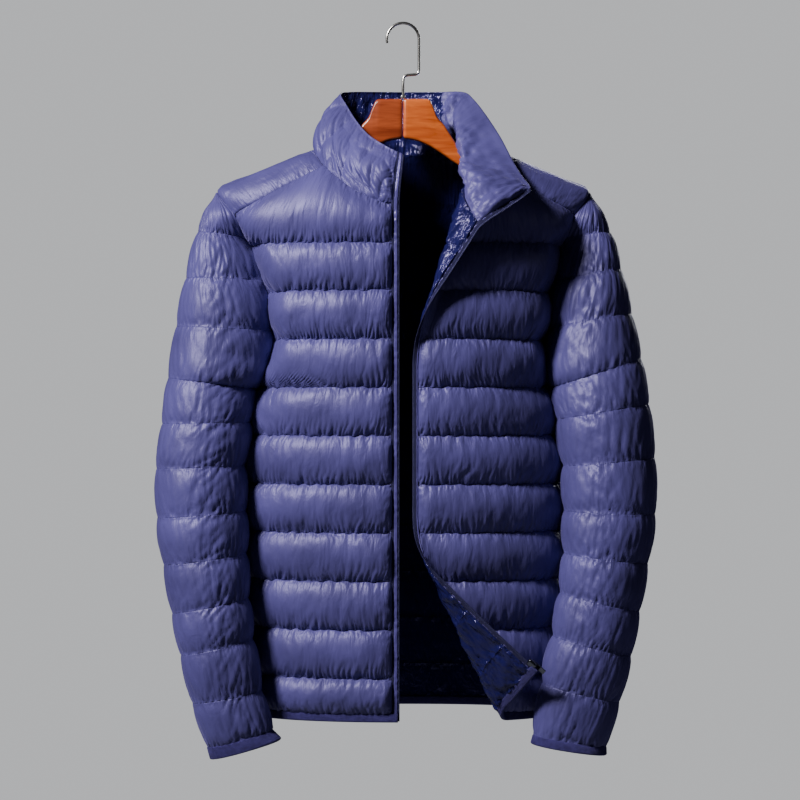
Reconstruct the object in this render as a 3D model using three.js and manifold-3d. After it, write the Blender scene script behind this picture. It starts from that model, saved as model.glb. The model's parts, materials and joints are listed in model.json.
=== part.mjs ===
// Puffer jacket hanging open on a wooden hanger. Millimetres, +Z up, +Y to the jacket's back,
// +X to the wearer's left. The origin is the inner top of the hook's crown, where a rail would be.
import * as THREE from "three";
import { mergeVertices } from "three/addons/utils/BufferGeometryUtils.js";
import Module from "manifold-3d";

// Cloth and quilting
const WALL = 1.6;
const SEAM_GAP = 0.4;
const BODY_PUFF = 11;
const YOKE_PUFF = 7;
const SLEEVE_PUFF = 5;
const EDGE_ROLL = 24;
const FORWARD_RISE = 0.6;
const SHOULDER_RISE = 12;
const COLLAR_PUFF = 5;
const PUFF_POWER = 0.62;

// Levels of the body
const FIRST_LINE_Z = -277.8;
const BAFFLE_HEIGHT = 58.8;
const HEM_SEAM_Z = -850.2;
const HEM_BOTTOM_Z = -859.2;
const BACK_YOKE_LINE_Z = -219;
const ARMPIT_Z = -454.2;
const BAFFLES = 10;

// Shoulder line: level beside the neck, slope out to the tip
const NECK_SIDE_X = 110;
const NECK_SIDE_Z = -163;
const SHOULDER_SLOPE = 0.42;
const SHOULDER_TIP_X = 231;
const SHOULDER_ROUND = 110;
const SECTION_POWER = 2.2;

// Front edges and zip
const RIGHT_EDGE_X = -13.4;
const LEFT_EDGE_X = 18.3;
const TAPE_WIDTH_RIGHT = 8.6;
const TAPE_WIDTH_LEFT = 6.6;
const TAPE_THICK = 1.6;
const TAPE_GAP = 0.6;
const BINDING_THICK = 4.6;
const BINDING_ROUND = 1.2;
const BINDING_OUT = 1;

// Torso sections on the cloth's inner face: level, half width, depth to the front and to the back
const TORSO = [
  { z: -100, half: 250, front: 44, back: 64 },
  { z: -206, half: 250, front: 72, back: 74 },
  { z: -241, half: 226, front: 80, back: 76 },
  { z: -277, half: 209, front: 84, back: 78 },
  { z: -330, half: 197, front: 88, back: 80 },
  { z: -385, half: 189, front: 90, back: 80 },
  { z: -454.2, half: 178, front: 92, back: 80 },
  { z: -480, half: 182, front: 92, back: 80 },
  { z: -512, half: 187, front: 93, back: 79 },
  { z: -560, half: 191, front: 93, back: 78 },
  { z: -620, half: 191.5, front: 93, back: 77 },
  { z: -700, half: 190, front: 93, back: 74 },
  { z: -870, half: 187, front: 93, back: 72 },
];

// Armhole seams, distance from the centre plane at each level
const ARMHOLES = {
  frontRight: [
    { z: -213.8, x: 231 },
    { z: -241, x: 207 },
    { z: -273, x: 192 },
    { z: -302, x: 178 },
    { z: -339, x: 168 },
    { z: -385, x: 162 },
    { z: -425, x: 164 },
    { z: -454.2, x: 178 },
  ],
  frontLeft: [
    { z: -213.8, x: 231 },
    { z: -241, x: 212 },
    { z: -275, x: 198 },
    { z: -322, x: 186 },
    { z: -375, x: 180 },
    { z: -425, x: 174 },
    { z: -454.2, x: 178 },
  ],
  back: [
    { z: -213.8, x: 231 },
    { z: -241, x: 214 },
    { z: -275, x: 200 },
    { z: -322, x: 189 },
    { z: -375, x: 180 },
    { z: -425, x: 175 },
    { z: -454.2, x: 178 },
  ],
};

// Neck seam on the fronts, from the centre out to the shoulder line
const NECK_FRONT = [
  { x: 0, z: -238 },
  { x: 12, z: -236 },
  { x: 38.5, z: -226.2 },
  { x: 58, z: -216.9 },
  { x: 78, z: -201.5 },
  { x: 97, z: -183.6 },
  { x: 107, z: -170 },
  { x: 110, z: -163 },
];
const NECK_BACK_Z = -158;
const NECK_BACK_DROP = 5;
const NECK_BACK_POWER = 6;

// Forward shoulder seam, from the neck seam to the armhole
const YOKE_SEAM = { neckX: 97, neckZ: -183.6, armX: 207, armZ: -241 };
const YOKE_SEAM_LEFT = { neckX: 97, neckZ: -183.6, armX: 212, armZ: -241 };

// How flat a fold presses the puffs on it
const FOLD_PRESS = 0.6;
// Folds of the left front: a point on each fold line, the direction along it, the roll and its turn
const LAPEL_FOLD = { x: 13.1, z: -403, alongX: 0.3016, alongZ: 0.9534, radius: 14, turn: 148 };
const CORNER_FOLD = { x: 17.9, z: -647, alongX: 0.413, alongZ: -0.911, radius: 16, turn: 142 };

// Sleeves, a row for each quilt line: outer end, inner end, middle depth and half depth of the tube
const SLEEVE_RIGHT = [
  { outX: 236, outZ: -206, inX: 226, inZ: -213, y: 0, deep: 8 },
  { outX: 259, outZ: -259.6, inX: 183, inZ: -270, y: 1, deep: 50 },
  { outX: 273.5, outZ: -318, inX: 172, inZ: -322, y: -2, deep: 60 },
  { outX: 285, outZ: -378, inX: 172, inZ: -384, y: -6, deep: 62 },
  { outX: 294, outZ: -442, inX: 186, inZ: -454, y: -20, deep: 62 },
  { outX: 300, outZ: -499, inX: 194, inZ: -497, y: -32, deep: 59 },
  { outX: 306, outZ: -553.6, inX: 195.5, inZ: -550, y: -42, deep: 57 },
  { outX: 304, outZ: -614, inX: 193, inZ: -605, y: -52, deep: 55 },
  { outX: 295, outZ: -671, inX: 189, inZ: -656.5, y: -61, deep: 52 },
  { outX: 284, outZ: -729.4, inX: 186, inZ: -710, y: -69, deep: 48 },
  { outX: 272.7, outZ: -779.7, inX: 180, inZ: -759, y: -77, deep: 43 },
  { outX: 258, outZ: -836.7, inX: 169, inZ: -821, y: -84, deep: 35 },
  { outX: 239, outZ: -890.7, inX: 155, inZ: -869, y: -88, deep: 28 },
  { outX: 235.5, outZ: -902.8, inX: 143, inZ: -881, y: -89, deep: 27 },
];
const SLEEVE_LEFT = [
  { outX: 236, outZ: -206, inX: 226, inZ: -213, y: 0, deep: 8 },
  { outX: 261, outZ: -259.6, inX: 184, inZ: -272, y: 1, deep: 50 },
  { outX: 274.6, outZ: -307, inX: 176, inZ: -319, y: -2, deep: 60 },
  { outX: 287.5, outZ: -362.7, inX: 176, inZ: -374, y: -6, deep: 62 },
  { outX: 297.5, outZ: -417, inX: 186, inZ: -454, y: -20, deep: 61 },
  { outX: 306, outZ: -473.8, inX: 197, inZ: -494, y: -32, deep: 59 },
  { outX: 312.2, outZ: -540, inX: 199, inZ: -551, y: -42, deep: 57 },
  { outX: 311.5, outZ: -609, inX: 197.5, inZ: -605, y: -52, deep: 55 },
  { outX: 301.6, outZ: -669, inX: 194, inZ: -656, y: -61, deep: 52 },
  { outX: 290.6, outZ: -727, inX: 188.6, inZ: -703.4, y: -69, deep: 48 },
  { outX: 279.6, outZ: -781, inX: 179, inZ: -755, y: -77, deep: 43 },
  { outX: 265, outZ: -835.4, inX: 166, inZ: -812, y: -84, deep: 35 },
  { outX: 248, outZ: -889.5, inX: 155, inZ: -875, y: -88, deep: 28 },
  { outX: 248, outZ: -900.4, inX: 152.5, inZ: -884, y: -89, deep: 27 },
];
const ARMPIT_ROW = 4;
const CUFF_ROW = 12;
// From a sleeve's measured outline in to its cloth's inner face
const SLEEVE_INSET = WALL + SLEEVE_PUFF * 0.6;
// How fast a cap's puffs rise from its seam, what they start with at the armpit, and the head's rise in rows
const SEAM_RISE = 2.2;
const ARMPIT_RISE = 0.2;
const HEAD_RISE = 0.7;
// How the cap is drawn to the armhole: turns reached at its head and foot, and how late the pull sets in
const CAP_REACH = { head: 0.45, foot: 0.86, power: 3 };
// The armhole seam's clearance from the torso, and what is added to it at the armpit
const ARMHOLE_GAP = { side: 1.7, armpitSide: 2.6, armpitDown: 2.2, armpitRow: 2.8, armpitRows: 1.2 };
const ARMPIT_NORMAL = { x: -0.3, z: -0.95 };

// Collar: seam, roll and top edge at stations from the right front edge round the back to the left.
// The seam of a station on a front is a place on the neck seam, given by its x there.
const COLLAR = [
  { seam: -13.4, midX: -11, midY: -77, midZ: -202, topX: -6, topY: -61, topZ: -167 },
  { seam: -27, midX: -29, midY: -73, midZ: -197, topX: -20, topY: -53, topZ: -159 },
  { seam: -46, midX: -53, midY: -58, midZ: -182, topX: -41, topY: -37, topZ: -144 },
  { seam: -70, midX: -73, midY: -40, midZ: -163, topX: -57, topY: -14, topZ: -124 },
  { seam: -92, midX: -90, midY: -17, midZ: -143, topX: -69, topY: 6, topZ: -103 },
  { seam: -110, midX: -99, midY: 10, midZ: -124, topX: -78, topY: 29, topZ: -84 },
  { back: -82, midX: -79, midY: 38, midZ: -117, topX: -68, topY: 47, topZ: -78 },
  { back: -42, midX: -42, midY: 56, midZ: -116, topX: -38, topY: 60, topZ: -76 },
  { back: 0, midX: 0, midY: 62, midZ: -116, topX: 0, topY: 66, topZ: -75.5 },
  { back: 42, midX: 40, midY: 55, midZ: -115, topX: 42, topY: 62, topZ: -76 },
  { back: 76, midX: 62, midY: 38, midZ: -112, topX: 76, topY: 52, topZ: -77 },
  { back: 98, midX: 66, midY: 18, midZ: -124, topX: 89, topY: 36, topZ: -88 },
  { seam: 110, midX: 70, midY: -2, midZ: -141, topX: 105, topY: 14, topZ: -112 },
  { seam: 101, midX: 74, midY: -24, midZ: -162, topX: 122, topY: -17, topZ: -144 },
  { seam: 84, midX: 80, midY: -52, midZ: -184, topX: 137, topY: -48, topZ: -179 },
  { seam: 62, midX: 98, midY: -82, midZ: -203, topX: 147, topY: -68, topZ: -198 },
  { seam: 39, midX: 111, midY: -103, midZ: -222, topX: 153, topY: -82, topZ: -208 },
  { seam: 18.3, midX: 119, midY: -113, midZ: -236, topX: 154, topY: -90, topZ: -213 },
];

// Zip hardware
const SLIDER = { length: 12, width: 8.5, slot: 2.6, plate: 1.2, beyond: 0.8, slotX: -2.6, slotZ: -1 };
const BRIDGE = { length: 6.4, width: 2.4, height: 4, bar: 1.1, sunk: 0.2 };
const PULL = { length: 19, width: 6.4, thick: 1.3, window: 4, bar: 1.5, lift: 0.65 };
const PIN = { radius: 1.1, length: 9, inside: 1, sides: 10 };

// Hanger and hook
const HANGER_THICK = 12;
const HANGER_BEVEL = 3.6;
const HANGER_UPPER = [
  { x: 0, z: -93.4 },
  { x: 33, z: -93.4 },
  { x: 39.5, z: -106 },
  { x: 42, z: -116 },
  { x: 51, z: -125 },
  { x: 65, z: -147 },
  { x: 76, z: -158.5 },
  { x: 94, z: -163.5 },
  { x: 112, z: -165.2 },
  { x: 212, z: -207.2 },
  { x: 217, z: -214 },
];
const HANGER_LOWER = [
  { x: 214, z: -232 },
  { x: 200, z: -231 },
  { x: 140, z: -207 },
  { x: 77, z: -181 },
  { x: 34, z: -152.5 },
  { x: 0, z: -142.5 },
];
const HOOK_RADIUS = 1.8;
const HOOK_ARC = 20;
const HOOK_CENTRE_Z = HOOK_RADIUS - HOOK_ARC;
const HOOK_CRANK_Z = -62.5;
const HOOK_FOOT_Z = -93;
const HOOK_ARC_TURN = 194;
const HOOK_ARC_STEPS = 14;
const HOOK_SHANK = [
  { x: HOOK_ARC, z: -40 },
  { x: HOOK_ARC, z: HOOK_CRANK_Z + 6 },
  { x: HOOK_ARC - 3, z: HOOK_CRANK_Z },
  { x: 5, z: HOOK_CRANK_Z - 1 },
  { x: 1, z: HOOK_CRANK_Z - 5 },
  { x: 0, z: HOOK_FOOT_Z + 12 },
  { x: 0, z: HOOK_FOOT_Z },
];
const FERRULE = { radius: 3.4, height: 4 };

const RIGHT = -1;
const LEFT = 1;

// Numbers along a table's column, smooth between its rows
function along(table, key, column, at) {
  const rising = table[table.length - 1][key] > table[0][key];
  const rows = rising ? table : [...table].reverse();
  const last = rows.length - 1;
  const value = Math.min(Math.max(at, rows[0][key]), rows[last][key]);
  let i = 0;
  while (i < last - 1 && value > rows[i + 1][key]) i += 1;
  const slope = (a, b) => (rows[b][column] - rows[a][column]) / (rows[b][key] - rows[a][key]);
  const here = slope(i, i + 1);
  const before = i > 0 ? (slope(i - 1, i) + here) / 2 : here;
  const after = i + 1 < last ? (here + slope(i + 1, i + 2)) / 2 : here;
  const span = rows[i + 1][key] - rows[i][key];
  const t = (value - rows[i][key]) / span;
  const t2 = t * t;
  const t3 = t2 * t;
  return (
    (2 * t3 - 3 * t2 + 1) * rows[i][column] +
    (t3 - 2 * t2 + t) * span * before +
    (3 * t2 - 2 * t3) * rows[i + 1][column] +
    (t3 - t2) * span * after
  );
}

// The same along a list whose rows are one apart
function alongRows(rows, column, at) {
  const numbered = rows.map((row, index) => ({ index, value: row[column] }));
  return along(numbered, "index", "value", at);
}

const mix = (a, b, t) => a + (b - a) * t;
const smooth = (t) => t * t * (3 - 2 * t);
const clamp01 = (t) => Math.min(Math.max(t, 0), 1);
const shoulderZ = (x) => NECK_SIDE_Z - (Math.abs(x) - NECK_SIDE_X) * SHOULDER_SLOPE;

// How far the torso's depth has opened at a drop below the shoulder line
function shoulderOpening(x, z) {
  const drop = clamp01((shoulderZ(x) - z) / SHOULDER_ROUND);
  return Math.sqrt(Math.max(0, 1 - (1 - drop) ** 2));
}

// Depth of the torso's front or back at a place seen from the front
function torsoY(x, z, onFront) {
  const share = clamp01(Math.abs(x) / along(TORSO, "z", "half", z));
  const bulge = (1 - share ** SECTION_POWER) ** (1 / SECTION_POWER);
  const depth = along(TORSO, "z", onFront ? "front" : "back", z);
  return (onFront ? -1 : 1) * depth * bulge * shoulderOpening(x, z);
}

// A torso section's place for an angle from the centre line, 1 at the side seam
function sectionX(turn, z) {
  const half = along(TORSO, "z", "half", z);
  return Math.sign(turn) * half * Math.sin(Math.abs(turn) * (Math.PI / 2)) ** (2 / SECTION_POWER);
}
function sectionTurn(x, z) {
  const share = clamp01(Math.abs(x) / along(TORSO, "z", "half", z));
  return Math.sign(x) * (Math.asin(share ** (SECTION_POWER / 2)) / (Math.PI / 2));
}

const armholeOf = (side) => (side === RIGHT ? ARMHOLES.frontRight : ARMHOLES.frontLeft);
function armholeX(table, z) {
  return z < ARMPIT_Z ? sectionX(1, z) : along(table, "z", "x", z);
}

// Turns a point of the flat left front round a fold's roll, out towards the camera side
function foldOver(point, fold) {
  const across = { x: -Math.abs(fold.alongZ), z: Math.sign(fold.alongZ) * fold.alongX };
  const dx = point.x - fold.x;
  const dz = point.z - fold.z;
  const beyond = dx * across.x + dz * across.z + fold.radius;
  if (beyond <= 0) return point;
  const run = dx * fold.alongX + dz * fold.alongZ;
  const startX = fold.x + run * fold.alongX - fold.radius * across.x;
  const startZ = fold.z + run * fold.alongZ - fold.radius * across.z;
  const startY = torsoY(startX, startZ, true);
  const turn = THREE.MathUtils.degToRad(fold.turn);
  const angle = Math.min(beyond / fold.radius, turn);
  const rest = Math.max(0, beyond - fold.radius * turn);
  const reach = fold.radius - (startY - point.y);
  const sideways = reach * Math.sin(angle) + rest * Math.cos(angle);
  const forward = fold.radius - reach * Math.cos(angle) + rest * Math.sin(angle);
  return new THREE.Vector3(
    startX + sideways * across.x,
    startY - forward,
    startZ + sideways * across.z,
  );
}

// A place on a front panel's inner face
function frontPoint(side, x, z) {
  const flat = new THREE.Vector3(x, torsoY(x, z, true), z);
  return side === RIGHT ? flat : foldOver(foldOver(flat, LAPEL_FOLD), CORNER_FOLD);
}

// How much of a fold's roll lies at a place, 1 in its middle
function foldNearness(side, x, z) {
  if (side === RIGHT) return 0;
  return Math.max(
    ...[LAPEL_FOLD, CORNER_FOLD].map((fold) => {
      const across = { x: -Math.abs(fold.alongZ), z: Math.sign(fold.alongZ) * fold.alongX };
      const beyond = (x - fold.x) * across.x + (z - fold.z) * across.z + fold.radius;
      const arc = fold.radius * THREE.MathUtils.degToRad(fold.turn);
      return smooth(clamp01(1 - Math.abs(beyond / arc - 0.5)));
    }),
  );
}

const crown = (share) => Math.sin(Math.PI * clamp01(share)) ** PUFF_POWER;
const edgeRise = (distance, width) => Math.sqrt(1 - (1 - clamp01(distance / width)) ** 2);

// A wall of cloth: outer and inner places share one list, and faces close the rims between them
class Wall {
  constructor() {
    this.outer = [];
    this.inner = [];
    this.outerFaces = [];
    this.innerFaces = [];
  }

  place(outer, inner) {
    this.outer.push(outer);
    this.inner.push(inner);
    return this.outer.length - 1;
  }

  // A grid of places, rows by columns. The inner face keeps only each step-th row between its rims.
  addGrid(ids, step) {
    const columns = ids[0].length - 1;
    for (let i = 0; i + 1 < ids.length; i += 1) {
      for (let j = 0; j < columns; j += 1) {
        this.addQuad(this.outerFaces, ids[i][j], ids[i][j + 1], ids[i + 1][j + 1], ids[i + 1][j]);
      }
    }
    for (let i = 0; i + 1 < ids.length; i += step) {
      const end = Math.min(i + step, ids.length - 1);
      for (let j = 0; j < columns; j += 1) {
        const open = end > i + 1 && ids[i + 1][0] !== ids[i + 1][columns];
        const left = this.sideOf(ids, i, end, j, open && j === 0);
        const right = this.sideOf(ids, i, end, j + 1, open && j + 1 === columns);
        this.addStrip(left, right);
      }
    }
  }

  sideOf(ids, start, end, column, full) {
    if (!full) return [ids[start][column], ids[end][column]];
    return ids.slice(start, end + 1).map((row) => row[column]);
  }

  addStrip(left, right) {
    let i = 0;
    let j = 0;
    while (i < left.length - 1 || j < right.length - 1) {
      const leftNext = (i + 1) / (left.length - 1);
      const rightNext = (j + 1) / (right.length - 1);
      if (j >= right.length - 1 || (i < left.length - 1 && leftNext <= rightNext)) {
        this.addTriangle(this.innerFaces, left[i], right[j], left[i + 1]);
        i += 1;
      } else {
        this.addTriangle(this.innerFaces, left[i], right[j], right[j + 1]);
        j += 1;
      }
    }
  }

  addQuad(faces, a, b, c, d) {
    this.addTriangle(faces, a, b, c);
    this.addTriangle(faces, a, c, d);
  }

  addTriangle(faces, a, b, c) {
    if (a === b || b === c || a === c) return;
    faces.push([a, b, c]);
  }

  geometry() {
    const edges = new Map();
    for (const [a, b, c] of this.outerFaces) {
      for (const [from, to] of [[a, b], [b, c], [c, a]]) edges.set(from + "," + to, [from, to]);
    }
    const positions = [];
    const push = (...points) => points.forEach((p) => positions.push(p.x, p.y, p.z));
    for (const [a, b, c] of this.outerFaces) push(this.outer[a], this.outer[b], this.outer[c]);
    for (const [a, b, c] of this.innerFaces) push(this.inner[a], this.inner[c], this.inner[b]);
    for (const [from, to] of edges.values()) {
      if (edges.has(to + "," + from)) continue;
      push(this.outer[to], this.outer[from], this.inner[from]);
      push(this.outer[to], this.inner[from], this.inner[to]);
    }
    const geometry = new THREE.BufferGeometry();
    geometry.setAttribute("position", new THREE.Float32BufferAttribute(positions, 3));
    return facingOut(geometry);
  }
}

// Outward directions over a grid of places; wrapped grids join their last column to the first
function gridNormals(places, wrapped, sign) {
  const rows = places.length;
  const columns = places[0].length;
  return places.map((row, i) =>
    row.map((_, j) => {
      const up = places[Math.max(i - 1, 0)][j];
      const down = places[Math.min(i + 1, rows - 1)][j];
      const before = wrapped(i) && j === 0 ? columns - 2 : Math.max(j - 1, 0);
      const after = wrapped(i) && j === columns - 1 ? 1 : Math.min(j + 1, columns - 1);
      const across = places[i][after].clone().sub(places[i][before]);
      const downwards = down.clone().sub(up);
      return across.cross(downwards).normalize().multiplyScalar(sign);
    }),
  );
}

const QUILT_STEPS = [0, 0.22, 0.5, 0.78];
const BACK_STEPS = [0, 0.2, 0.8];
const SHOULDER_STEPS = [0, 0.15, 0.3, 0.5, 0.7, 0.85];
const FRONT_COLUMNS = [0, 0.05, 0.14, 0.3, 0.5, 0.7, 0.86, 0.95, 1];
const FOLDED_COLUMNS = [
  0, 0.04, 0.09, 0.14, 0.2, 0.26, 0.32, 0.39, 0.46, 0.54, 0.63, 0.74, 0.86, 0.95, 1,
];
const BOW_POWER = 4;
const NECK_SHARE = NECK_SIDE_X / SHOULDER_TIP_X;
const BACK_COLUMNS = [0, 0.16, 0.3, 0.4, NECK_SHARE, 0.6, 0.74, 0.87, 0.96, 1];

// The level of a quilt line, counted from the first one across the front
const lineZ = (line) => (line >= BAFFLES ? HEM_SEAM_Z : FIRST_LINE_Z - line * BAFFLE_HEIGHT);
function levelZ(line) {
  const whole = Math.floor(line);
  return mix(lineZ(whole), lineZ(whole + 1), line - whole);
}

// Seen from the front, the place of a front panel's share across and row down, flat
function frontPlace(side, share, row) {
  const yoke = side === RIGHT ? YOKE_SEAM : YOKE_SEAM_LEFT;
  const edge = side === RIGHT ? -RIGHT_EDGE_X : LEFT_EDGE_X;
  const armhole = armholeOf(side);
  if (row >= 1) {
    const z = levelZ(row - 1);
    const start = sectionTurn(edge, z);
    const end = sectionTurn(armholeX(armhole, z), z);
    return { x: sectionX(mix(start, end, share), z), z };
  }
  const topX = mix(edge, yoke.armX, share);
  const onNeck = topX < yoke.neckX;
  const yokeShare = (topX - yoke.neckX) / (yoke.armX - yoke.neckX);
  const topZ = onNeck ? along(NECK_FRONT, "x", "z", topX) : mix(yoke.neckZ, yoke.armZ, yokeShare);
  const line = frontPlace(side, share, 1);
  const armZ = mix(yoke.armZ, line.z, row);
  const chordX = mix(yoke.armX, armholeX(armhole, line.z), row);
  const bow = share ** BOW_POWER * (armholeX(armhole, armZ) - chordX);
  const gap = onNeck ? 0 : SEAM_GAP;
  return { x: mix(topX, line.x, row) + bow, z: mix(topZ - gap, line.z, row) };
}

function rowsOf(first, last, steps) {
  const rows = [];
  for (let band = first; band < last; band += 1) rows.push(...steps.map((step) => band + step));
  rows.push(last);
  return rows;
}

function frontPanel(side) {
  const columns = side === RIGHT ? FRONT_COLUMNS : FOLDED_COLUMNS;
  const rows = rowsOf(0, BAFFLES + 1, QUILT_STEPS);
  const flat = rows.map((row) => columns.map((share) => frontPlace(side, share, row)));
  const places = flat.map((row) => row.map(({ x, z }) => frontPoint(side, side * x, z)));
  places.forEach((row) => {
    const seam = row[row.length - 1];
    seam.y -= SEAM_GAP / 2;
  });
  const normals = gridNormals(places, () => false, side === RIGHT ? 1 : -1);
  const wall = new Wall();
  const ids = rows.map((row, i) =>
    columns.map((share, j) => {
      const width = Math.abs(flat[i][columns.length - 1].x - flat[i][0].x);
      const fromEdge = Math.min(share, 1 - share) * width;
      const roll = 1 - FOLD_PRESS * foldNearness(side, side * flat[i][j].x, flat[i][j].z);
      const puff = BODY_PUFF * crown(row % 1) * edgeRise(fromEdge, EDGE_ROLL) * roll;
      const outer = places[i][j].clone().addScaledVector(normals[i][j], WALL + puff);
      return wall.place(outer, places[i][j]);
    }),
  );
  wall.addGrid(ids, QUILT_STEPS.length);
  return wall.geometry();
}

// The level of the neck seam on the back
function neckBackZ(x) {
  return NECK_BACK_Z - NECK_BACK_DROP * (Math.abs(x) / NECK_SIDE_X) ** NECK_BACK_POWER;
}

// The back's place for a share across (-1 to 1) and a row down from the shoulder line
function backPlace(share, row) {
  if (row >= 1) {
    const z = row < 2 ? mix(BACK_YOKE_LINE_Z, FIRST_LINE_Z, row - 1) : levelZ(row - 2);
    const end = sectionTurn(armholeX(ARMHOLES.back, z), z);
    return { x: sectionX(share * end, z), z };
  }
  const line = backPlace(share, 1);
  const topX = share * SHOULDER_TIP_X;
  const neckShare = Math.abs(topX) / NECK_SIDE_X;
  const topZ = neckShare < 1 ? neckBackZ(topX) : shoulderZ(topX);
  return { x: mix(topX, line.x, row), z: mix(topZ, line.z, row ** 2) };
}

// The back piece beyond the shoulder line, down to the forward seam, row 0 to 1
function forwardPlace(side, share, row) {
  const yoke = side === RIGHT ? YOKE_SEAM : YOKE_SEAM_LEFT;
  const across = (share - NECK_SHARE) / (1 - NECK_SHARE);
  const topX = share * SHOULDER_TIP_X;
  const drop = row ** 2;
  const x = mix(topX, mix(yoke.neckX, yoke.armX, across), drop);
  const z = mix(shoulderZ(topX), mix(yoke.neckZ, yoke.armZ, across), drop);
  return { x: share === 1 ? along(armholeOf(side), "z", "x", z) : x, z };
}

function backPanel() {
  const columns = [...BACK_COLUMNS.slice(1).reverse().map((share) => -share), ...BACK_COLUMNS];
  const rows = [...SHOULDER_STEPS, ...rowsOf(1, BAFFLES + 2, BACK_STEPS)];
  const flat = rows.map((row) => columns.map((share) => backPlace(share, row)));
  const places = flat.map((row) =>
    row.map(({ x, z }, j) => {
      const atSeam = (j === 0 || j === columns.length - 1) && z < BACK_YOKE_LINE_Z;
      return new THREE.Vector3(x, torsoY(x, z, false) + (atSeam ? SEAM_GAP / 2 : 0), z);
    }),
  );
  const normals = gridNormals(places, () => false, 1);
  const wall = new Wall();
  normals[0].forEach((normal, j) => {
    if (Math.abs(columns[j]) >= NECK_SHARE) normal.set(0, 0, 1);
  });
  const ids = rows.map((row, i) =>
    columns.map((share, j) => {
      const top = row < 1 && Math.abs(share) > NECK_SHARE;
      const fromEdge = (1 - Math.abs(share)) * Math.abs(flat[i][0].x);
      const overShoulder = YOKE_PUFF * Math.min(1, (Math.abs(share) - NECK_SHARE) * SHOULDER_RISE);
      const round = top ? mix(overShoulder, BODY_PUFF * crown(row), row) : BODY_PUFF * crown(row % 1);
      const puff = round * edgeRise(fromEdge, EDGE_ROLL);
      const outer = places[i][j].clone().addScaledVector(normals[i][j], WALL + puff);
      return wall.place(outer, places[i][j]);
    }),
  );
  wall.addGrid(ids, BACK_STEPS.length);
  for (const side of [RIGHT, LEFT]) addForwardPart(wall, side, columns, ids[0]);
  return wall.geometry();
}

function addForwardPart(wall, side, columns, ridge) {
  const shares = columns.filter((share) => share * side >= NECK_SHARE - 1e-6);
  const first = columns.indexOf(shares[0]);
  const rows = [0, 0.4, 0.75, 1];
  const places = rows.map((row) =>
    shares.map((share) => {
      const { x, z } = forwardPlace(side, Math.abs(share), row);
      return new THREE.Vector3(side * x, torsoY(x, z, true), z);
    }),
  );
  const normals = gridNormals(places, () => false, -1);
  const ids = rows.map((row, i) =>
    shares.map((share, j) => {
      if (i === 0) return ridge[first + j];
      const inner = Math.abs(share) - NECK_SHARE;
      const fromEdge = Math.min(inner, 1 - Math.abs(share)) * SHOULDER_TIP_X;
      const puff = YOKE_PUFF * edgeRise(fromEdge, EDGE_ROLL) * edgeRise(1 - row, FORWARD_RISE);
      const outer = places[i][j].clone().addScaledVector(normals[i][j], WALL + puff);
      return wall.place(outer, places[i][j]);
    }),
  );
  wall.addGrid(ids.reverse(), 1);
}

// A tube's place for a row and a turn round it, -1 to 1, 0 on the outer side
function sleevePlace(side, table, row, turn) {
  const outX = alongRows(table, "outX", row);
  const outZ = alongRows(table, "outZ", row);
  const inX = alongRows(table, "inX", row);
  const inZ = alongRows(table, "inZ", row);
  const angle = turn * Math.PI;
  const share = (1 - Math.cos(angle)) / 2;
  const y = alongRows(table, "y", row) + alongRows(table, "deep", row) * Math.sin(angle);
  return new THREE.Vector3(side * mix(outX, inX, share), y, mix(outZ, inZ, share));
}

const SLOPE_STEP = 2;
// The least part of its radius that a section keeps when it is drawn in
const LEAST_RADIUS = 0.2;
const CAP_LEVELS = [-213.8, -267, -322, -384, ARMPIT_Z];
const SLEEVE_TURNS = [
  -1, -0.86, -0.72, -0.58, -0.43, -0.28, -0.14, 0, 0.14, 0.28, 0.43, 0.58, 0.72, 0.86, 1,
];

// The armhole seam's place beside a sleeve's cap, and the torso's outward direction there
function armholeSeam(side, row, onFront) {
  const levels = CAP_LEVELS.map((z) => ({ z }));
  const z = alongRows(levels, "z", row);
  const table = onFront ? armholeOf(side) : ARMHOLES.back;
  const x = along(table, "z", "x", z);
  const nearArmpit = smooth(clamp01((row - ARMHOLE_GAP.armpitRow) / ARMHOLE_GAP.armpitRows));
  const place = new THREE.Vector3(
    side * (x + ARMHOLE_GAP.side + ARMHOLE_GAP.armpitSide * nearArmpit),
    torsoY(x, z, onFront),
    z + ARMHOLE_GAP.armpitDown * nearArmpit,
  );
  const slopeX = (torsoY(x - SLOPE_STEP, z, onFront) - torsoY(x, z, onFront)) / SLOPE_STEP;
  const slopeZ = (torsoY(x, z - SLOPE_STEP, onFront) - torsoY(x, z, onFront)) / SLOPE_STEP;
  const sign = onFront ? -1 : 1;
  const normal = new THREE.Vector3(sign * side * slopeX, sign, sign * slopeZ).normalize();
  const under = new THREE.Vector3(ARMPIT_NORMAL.x * side, 0, ARMPIT_NORMAL.z);
  return { place, normal: normal.lerp(under, nearArmpit).normalize() };
}

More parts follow.
